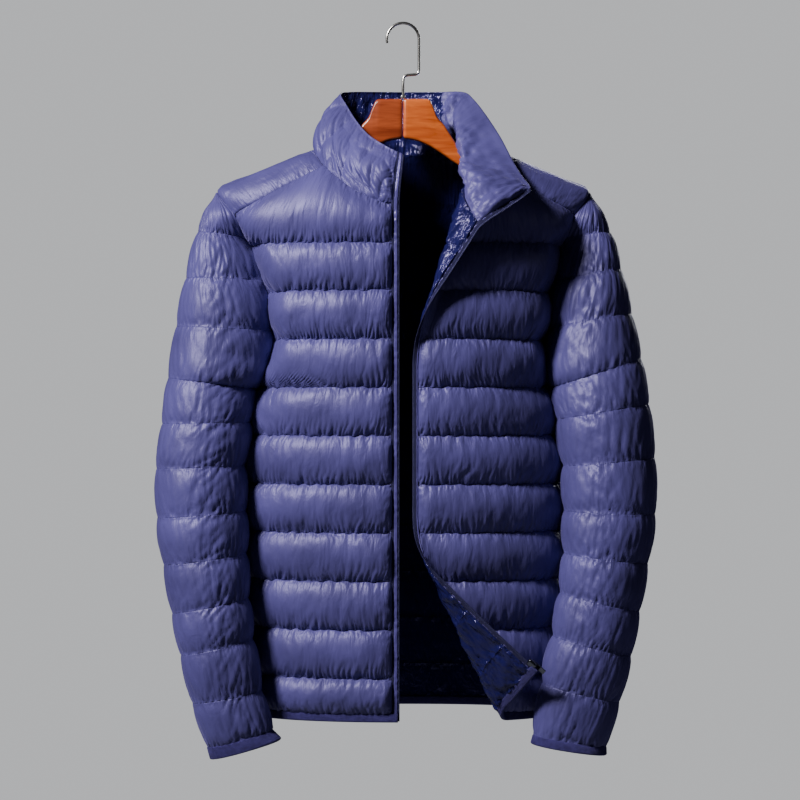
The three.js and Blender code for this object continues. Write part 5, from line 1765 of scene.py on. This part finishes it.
@dataclass(frozen=True)
class Stitches:
    """A run of thread stitches.

    Attributes:
        pitch: from stitch to stitch.
        length: of a stitch.
        thick: of the thread.
    """

    pitch: float = 3.2
    length: float = 2.5
    thick: float = 0.5

    def mesh(self, lines: Sequence[tuple[Array, Array]]) -> tuple[Array, Array]:
        """Points and faces of the stitches along some lines.

        Args:
            lines: places and outward directions along each line.

        Returns:
            Points and quads.
        """
        points, faces, total = [], [], 0
        for places, normals in lines:
            run = np.concatenate([[0], np.cumsum(np.linalg.norm(np.diff(places, axis=0), axis=-1))])
            wanted = np.arange(self.pitch, run[-1] - self.length, self.pitch)
            if not len(wanted):
                continue
            start, end, out = (
                np.stack([np.interp(w, run, v[:, k]) for k in range(3)], axis=-1)
                for w, v in ((wanted, places), (wanted + self.length, places), (wanted + self.length / 2, normals))
            )
            out = unit(out)
            across = unit(np.cross(end - start, out))
            middle = (start + end) / 2
            half = self.thick / 2
            corners = np.stack(
                [start, middle + across * half, middle + out * half, middle - across * half, middle - out * half, end],
                axis=1,
            )
            points.append(corners.reshape(-1, 3))
            one = np.array([[0, 2, 1, 1], [0, 3, 2, 2], [0, 4, 3, 3], [0, 1, 4, 4], [5, 1, 2, 2], [5, 2, 3, 3], [5, 3, 4, 4], [5, 4, 1, 1]])
            faces.append((one[None] + (total + np.arange(len(wanted)) * 6)[:, None, None]).reshape(-1, 4))
            total += len(wanted) * 6
        return np.concatenate(points), np.concatenate(faces)

    def build(self, name: str, lines: Sequence[tuple[Array, Array]]) -> bpy.types.Object:
        """Makes the stitches a piece."""
        points, faces = self.mesh(lines)
        zero = np.zeros(len(points))
        uvs = np.stack([points[:, 0], points[:, 2]], axis=-1)
        piece = mesh_piece(name, points, faces, [FINISHES.thread], None, uvs, {"seam": zero})
        return dressed(piece, "garment", "binding")


def quilt_lines(outer: Array, normals: Array, rows: Array, first: int, last: int) -> list[tuple[Array, Array]]:
    """The stitched lines of a panel, from its rows that are whole numbers."""
    lines = []
    for line in range(first, last + 1):
        i = int(np.argmin(np.abs(rows - line)))
        lines.append((outer[i] + normals[i] * 0.1, normals[i]))
    return lines


def placed(piece: bpy.types.Object, matrix: Matrix) -> bpy.types.Object:
    """Moves a piece's place into its mesh, with its object at the origin."""
    piece.data.transform(matrix @ piece.matrix_basis)
    piece.matrix_basis = Matrix.Identity(4)
    return piece


def bevelled(piece: bpy.types.Object, width: float, segments: int = 3) -> None:
    """Rounds a piece's edges."""
    select_only(piece)
    modifier = piece.modifiers.new("round", "BEVEL")
    modifier.width = width
    modifier.segments = segments
    modifier.limit_method = "ANGLE"
    bpy.ops.object.modifier_apply(modifier="round")
    bpy.ops.object.shade_smooth_by_angle(angle=math.radians(40))


def cut_away(piece: bpy.types.Object, tool: bpy.types.Object) -> None:
    """Cuts one piece out of another and removes the tool."""
    select_only(piece)
    modifier = piece.modifiers.new("cut", "BOOLEAN")
    modifier.operation = "DIFFERENCE"
    modifier.object = tool
    bpy.ops.object.modifier_apply(modifier="cut")
    bpy.data.objects.remove(tool)


def add_block(name: str, size: Sequence[float], centre: Sequence[float]) -> bpy.types.Object:
    """A block at its size and place, in millimetres."""
    for other in bpy.context.selected_objects:
        other.select_set(False)
    bpy.ops.mesh.primitive_cube_add(size=1)
    block = bpy.context.object
    block.name = name
    block.data.transform(Matrix.Translation(Vector(centre) * MM) @ Matrix.Diagonal((*(s * MM for s in size), 1)))
    return block


class ZipMetal:
    """The slider and its pull tab, set round the pull's hinge."""

    HINGE_SIDE = 0.8
    HINGE_OUT = 3.8

    def __init__(self, line: ZipSpine) -> None:
        """Works out the axes at the foot of the left zip.

        Args:
            line: the left zip's line; not used.
        """
        side = Side.LEFT
        x, _ = TORSO_FORM.front_flat(side, np.zeros(1), np.full(1, BAFFLES + 1.0))
        z = np.full(1, float(HEM_BOTTOM_Z + SLIDER_LENGTH))
        foot = TORSO_FORM.front(side, x, z)[0]
        x_up, z_up = TORSO_FORM.front_flat(side, np.zeros(1), np.full(1, BAFFLES + 0.78))
        above = TORSO_FORM.front(side, x_up, z_up)[0]
        across = unit(foot - TORSO_FORM.front(side, x + 2, z)[0])
        below = TORSO_FORM.front(side, x, z - 2)[0]
        normal = -unit(np.cross(below - foot, across))
        down = unit(foot - above)
        side_way = unit(across - down * (across @ down))
        out = unit(np.cross(down, side_way))
        out = out if out @ normal > 0 else -out
        hinge = np.array(frame["record"]["behaviour"]["joints"][0]["pos_m"]) / MM
        centre = hinge - side_way * self.HINGE_SIDE - out * self.HINGE_OUT
        self.axes = Matrix.Identity(4)
        for column_number, axis in enumerate((side_way, out, down)):
            self.axes.col[column_number][:3] = axis
        self.axes.col[3][:3] = centre * MM

    def slider(self) -> bpy.types.Object:
        """The slider: two plates on a post, with a bridge over the top one."""
        body = add_block("zip_slider_cast", (SLIDER_WIDTH, 5.0, SLIDER_LENGTH), (0.8, 0, 0))
        select_only(body)
        bpy.ops.object.mode_set(mode="EDIT")
        bpy.ops.mesh.select_all(action="SELECT")
        bpy.ops.mesh.bevel(offset=1.9 * MM, segments=4, affect="EDGES")
        bpy.ops.object.mode_set(mode="OBJECT")
        cut_away(body, add_block("slot", (SLIDER_WIDTH, 2.6, SLIDER_LENGTH + 2), (-2.6, 0, -2)))
        bevelled(body, 0.25 * MM, 2)
        for other in bpy.context.selected_objects:
            other.select_set(False)
        bpy.ops.mesh.primitive_torus_add(major_radius=2.6 * MM, minor_radius=0.62 * MM, major_segments=28, minor_segments=10)
        bridge = bpy.context.object
        turn = Matrix.Rotation(math.pi / 2, 4, "Y")
        bridge.data.transform(Matrix.Translation((0.8 * MM, 3.4 * MM, 0)) @ turn @ Matrix.Scale(0.8, 4, (1, 0, 0)))
        select_only(body)
        bridge.select_set(True)
        bpy.ops.object.join()
        body.data.materials.clear()
        body.data.materials.append(FINISHES.metal)
        placed(body, self.axes)
        return dressed(body, "garment", "zip_metal", "zip_slider")

    def pull(self) -> bpy.types.Object:
        """The pull tab: a plate with a window round the bridge."""
        tab = add_block("zip_pull_tab", (6.4, 1.3, 19), (0.8, 3.8, 8.75))
        select_only(tab)
        cut_away(tab, add_block("window", (3.4, 4, 4), (0.8, 3.8, 2.75)))
        cut_away(tab, add_block("dimple", (3.0, 1, 8.6), (0.8, 4.7, 12)))
        bevelled(tab, 0.45 * MM, 3)
        tab.data.materials.clear()
        tab.data.materials.append(FINISHES.metal)
        placed(tab, self.axes)
        return dressed(tab, "zip_pull", "zip_metal", "zip_pull")


class Hanger:
    """The wooden hanger's two halves and the wire hook."""

    THICK = 12.0
    UPPER = ((0, -93.4), (33, -93.4), (36.5, -100), (39.5, -107), (42, -115), (46, -120), (51, -125), (58, -136),
             (65, -147), (70, -153.5), (76, -158.5), (84, -161.6), (94, -163.5), (112, -165.2), (160, -185), (212, -207.2))
    LOWER = ((0, -142.5), (18, -145.5), (34, -152.5), (46, -160), (60, -170), (77, -181), (105, -193), (140, -207),
             (170, -219), (200, -231))

    def half(self, side: Side) -> bpy.types.Object:
        """One half, drawn out station by station from the middle and rounded."""
        xs = np.concatenate([np.linspace(0.4, 33, 6), np.linspace(36, 112, 30), np.linspace(116, 212, 22)])
        tops = np.interp(xs, [p[0] for p in self.UPPER], [p[1] for p in self.UPPER])
        feet = np.interp(xs, [p[0] for p in self.LOWER], [p[1] for p in self.LOWER])
        for other in bpy.context.selected_objects:
            other.select_set(False)
        bpy.ops.mesh.primitive_plane_add(size=1)
        piece = bpy.context.object
        piece.name = f"hanger_{side.word}_turned"
        corners = [(xs[0], feet[0]), (xs[1], feet[1]), (xs[0], tops[0]), (xs[1], tops[1])]
        for vertex, (x, z) in zip(piece.data.vertices, corners):
            vertex.co = Vector((side.value * x, -self.THICK / 2, z)) * MM
        select_only(piece)
        for k in range(2, len(xs)):
            self.draw_out(piece, side, (xs[k - 1], tops[k - 1], feet[k - 1]), (xs[k], tops[k], feet[k]))
        bpy.ops.object.mode_set(mode="EDIT")
        bpy.ops.mesh.select_all(action="SELECT")
        bpy.ops.mesh.extrude_region_move(TRANSFORM_OT_translate={"value": (0, self.THICK * MM, 0)})
        bpy.ops.mesh.select_all(action="SELECT")
        bpy.ops.mesh.normals_make_consistent(inside=False)
        bpy.ops.object.mode_set(mode="OBJECT")
        modifier = piece.modifiers.new("round", "BEVEL")
        modifier.width = 3.6 * MM
        modifier.segments = 5
        modifier.limit_method = "ANGLE"
        modifier.angle_limit = math.radians(50)
        bpy.ops.object.modifier_apply(modifier="round")
        bpy.ops.object.shade_smooth_by_angle(angle=math.radians(35))
        piece.data.materials.clear()
        # The right half takes the darker copy of the wood, which is painted shade
        piece.data.materials.append(FINISHES.wood_right_painted_shade if side is Side.RIGHT else FINISHES.wood_left)
        return dressed(piece, "garment", "hanger_wood", f"hanger_{side.word}")

    @staticmethod
    def draw_out(piece: bpy.types.Object, side: Side, last: Sequence[float], new: Sequence[float]) -> None:
        """Extrudes the half's end edge to the next station.

        Args:
            piece: the half.
            side: the wearer's side.
            last: the end edge's x, top and foot.
            new: the next one's.
        """
        end = max(side.value * v.co.x for v in piece.data.vertices)
        for kind in (piece.data.vertices, piece.data.edges, piece.data.polygons):
            for item in kind:
                item.select = False
        for vertex in piece.data.vertices:
            vertex.select = side.value * vertex.co.x > end - 1e-6
        bpy.ops.object.mode_set(mode="EDIT")
        bpy.ops.mesh.select_mode(type="VERT")
        shift = (side.value * (new[0] - last[0]) * MM, 0, (new[1] - last[1]) * MM)
        bpy.ops.mesh.extrude_region_move(TRANSFORM_OT_translate={"value": shift})
        bpy.ops.object.mode_set(mode="OBJECT")
        made = [v for v in piece.data.vertices if v.select]
        foot = min(made, key=lambda v: v.co.z)
        foot.co.z = new[2] * MM

    def hook(self) -> bpy.types.Object:
        """The hook's wire with its ferrule."""
        radius, arc, crank, foot = 1.8, 20.0, -62.5, -93.0
        start = math.radians(194)
        points = []
        for k in range(29):
            angle = start * (1 - k / 28)
            points.append((arc * math.cos(angle), radius - arc + arc * math.sin(angle)))
        points += [(arc, -40), (arc, crank + 6), (arc - 1, crank + 1.6), (arc - 4, crank), (6, crank - 0.8)]
        points += [(2.2, crank - 2), (0.4, crank - 5.4), (0, foot + 12), (0, foot)]
        curve = bpy.data.curves.new("hook_line", "CURVE")
        curve.dimensions = "3D"
        curve.bevel_depth = radius * MM
        curve.bevel_resolution = 5
        curve.use_fill_caps = True
        spline = curve.splines.new("POLY")
        spline.points.add(len(points) - 1)
        for point, (x, z) in zip(spline.points, points):
            point.co = (x * MM, 0, z * MM, 1)
        piece = bpy.data.objects.new("hook_wire", curve)
        bpy.context.scene.collection.objects.link(piece)
        select_only(piece)
        bpy.ops.object.convert(target="MESH")
        for other in bpy.context.selected_objects:
            other.select_set(False)
        bpy.ops.mesh.primitive_cylinder_add(vertices=32, radius=3.4 * MM, depth=4 * MM, location=(0, 0, (foot + 2) * MM))
        ferrule = bpy.context.object
        placed(ferrule, Matrix.Identity(4))
        bevelled(ferrule, 0.7 * MM, 3)
        select_only(piece)
        ferrule.select_set(True)
        bpy.ops.object.join()
        bpy.ops.object.shade_smooth_by_angle(angle=math.radians(45))
        piece.data.materials.clear()
        piece.data.materials.append(FINISHES.steel)
        return dressed(piece, "garment", "hook_steel", "hook")


class Studio:
    """The camera, the lights and the floor."""

    EYE = (-0.00375, -2.8, -0.4694)
    LENS = 100.8
    FLOOR_Z = -1.9

    def camera(self) -> None:
        """The camera at the photograph's angle."""
        data = bpy.data.cameras.new("camera")
        data.lens = self.LENS
        data.sensor_width = 36
        camera = bpy.data.objects.new("camera", data)
        camera.location = self.EYE
        camera.rotation_euler = (math.radians(90), 0, 0)
        bpy.context.scene.collection.objects.link(camera)
        bpy.context.scene.camera = camera

    def softbox(self, name: str, place: Sequence[float], target: Sequence[float], size: Sequence[float], watts: float, colour: Sequence[float]) -> None:
        """One soft light, turned to a target."""
        data = bpy.data.lights.new(name, "AREA")
        data.shape = "RECTANGLE"
        data.size, data.size_y = size
        data.energy = watts
        data.color = colour
        light = bpy.data.objects.new(name, data)
        light.location = place
        light.rotation_euler = (Vector(target) - Vector(place)).to_track_quat("-Z", "Y").to_euler()
        bpy.context.scene.collection.objects.link(light)

    def lights(self) -> None:
        """A large light above and to the left, with weaker ones round it."""
        self.softbox("key", (-1.66, -1.4, 1.3), (0, 0, -0.45), (0.55, 0.55), 138, (1, 0.98, 0.97))
        self.softbox("fill", (2.4, -1.6, 0.2), (0, 0, -0.5), (0.8, 1.2), 2, (0.9, 0.93, 1))
        self.softbox("back", (0.8, 2.4, 0.5), (0, 0, -0.5), (1.6, 1.2), 30, (0.95, 0.97, 1))
        world = bpy.data.worlds.new("studio")
        world.use_nodes = True
        tree = world.node_tree
        tree.nodes.clear()
        output = tree.nodes.new("ShaderNodeOutputWorld")
        blend = tree.nodes.new("ShaderNodeMixShader")
        path = tree.nodes.new("ShaderNodeLightPath")
        dim, pale = tree.nodes.new("ShaderNodeBackground"), tree.nodes.new("ShaderNodeBackground")
        dim.inputs["Color"].default_value = (0.42, 0.46, 0.55, 1)
        dim.inputs["Strength"].default_value = 0.02
        pale.inputs["Color"].default_value = (0.66, 0.67, 0.69, 1)
        pale.inputs["Strength"].default_value = 0.85
        tree.links.new(path.outputs["Is Camera Ray"], blend.inputs["Fac"])
        tree.links.new(dim.outputs["Background"], blend.inputs[1])
        tree.links.new(pale.outputs["Background"], blend.inputs[2])
        tree.links.new(blend.outputs["Shader"], output.inputs["Surface"])
        bpy.context.scene.world = world

    def floor(self) -> None:
        """A pale floor that fades out far from the jacket."""
        for other in bpy.context.selected_objects:
            other.select_set(False)
        bpy.ops.mesh.primitive_circle_add(vertices=64, radius=4, fill_type="NGON", location=(0, 0, self.FLOOR_Z))
        floor = bpy.context.object
        floor.name = "floor"
        material = bpy.data.materials.new("floor_pale")
        pen = NodePen(material)
        distance = pen.node("ShaderNodeVectorMath", operation="LENGTH")
        pen.join(pen.place(), distance.inputs[0])
        fade = pen.node("ShaderNodeMapRange", interpolation_type="SMOOTHSTEP")
        fade.inputs["From Min"].default_value = 0.9
        fade.inputs["From Max"].default_value = 3.4
        pen.join(distance.outputs["Value"], fade.inputs["Value"])
        blend = pen.node("ShaderNodeMixShader")
        solid, clear = pen.node("ShaderNodeBsdfDiffuse"), pen.node("ShaderNodeBsdfTransparent")
        solid.inputs["Color"].default_value = (0.32, 0.33, 0.35, 1)
        pen.join(fade.outputs["Result"], blend.inputs["Fac"])
        pen.join(solid.outputs["BSDF"], blend.inputs[1])
        pen.join(clear.outputs["BSDF"], blend.inputs[2])
        pen.join(blend.outputs["Shader"], pen.output.inputs["Surface"])
        floor.data.materials.append(material)


class Jacket:
    """The whole jacket, built in the order that it is sewn."""

    def build(self) -> None:
        """Builds and dresses every piece."""
        back = BackPanel()
        back.build()
        fronts = {side: FrontPanel(side) for side in Side}
        sleeves = {side: Sleeve(side) for side in Side}
        lines = quilt_lines(back.outer, back.grid.normals, back.rows, 1, BAFFLES + 1)
        for side in Side:
            fronts[side].build()
            sleeves[side].build()
            lines += quilt_lines(fronts[side].outer, fronts[side].grid.normals, fronts[side].rows, 1, BAFFLES)
            lines += quilt_lines(sleeves[side].outer, sleeves[side].grid.normals, sleeves[side].rows, 1, CUFF_ROW - 1)
        collar = Collar()
        collar.build()
        row = collar.STITCHED_ROW
        neck_line = (collar.outer[row], collar.grid.normals[row])
        Stitches(2.6, 1.9, 0.5).build("neck_topstitch", [neck_line])
        bindings = Bindings()
        bindings.back()
        zip_lines = {side: ZipSpine(side) for side in Side}
        closing = Zip()
        for side in Side:
            bindings.front(side)
            bindings.cuff(side)
            closing.tape(side, zip_lines[side])
        Stitches().build("quilting_stitches", lines)
        metal = ZipMetal(zip_lines[Side.LEFT])
        metal.slider()
        metal.pull()


def main() -> None:
    """Builds the studio, the jacket and the hanger."""
    studio = Studio()
    studio.camera()
    Jacket().build()
    hanger = Hanger()
    for side in Side:
        hanger.half(side)
    hanger.hook()
    frame["nodes"]["zip_pin"].data.materials.clear()
    frame["nodes"]["zip_pin"].data.materials.append(FINISHES.metal)
    studio.lights()
    studio.floor()


if __name__ == "__main__":
    main()
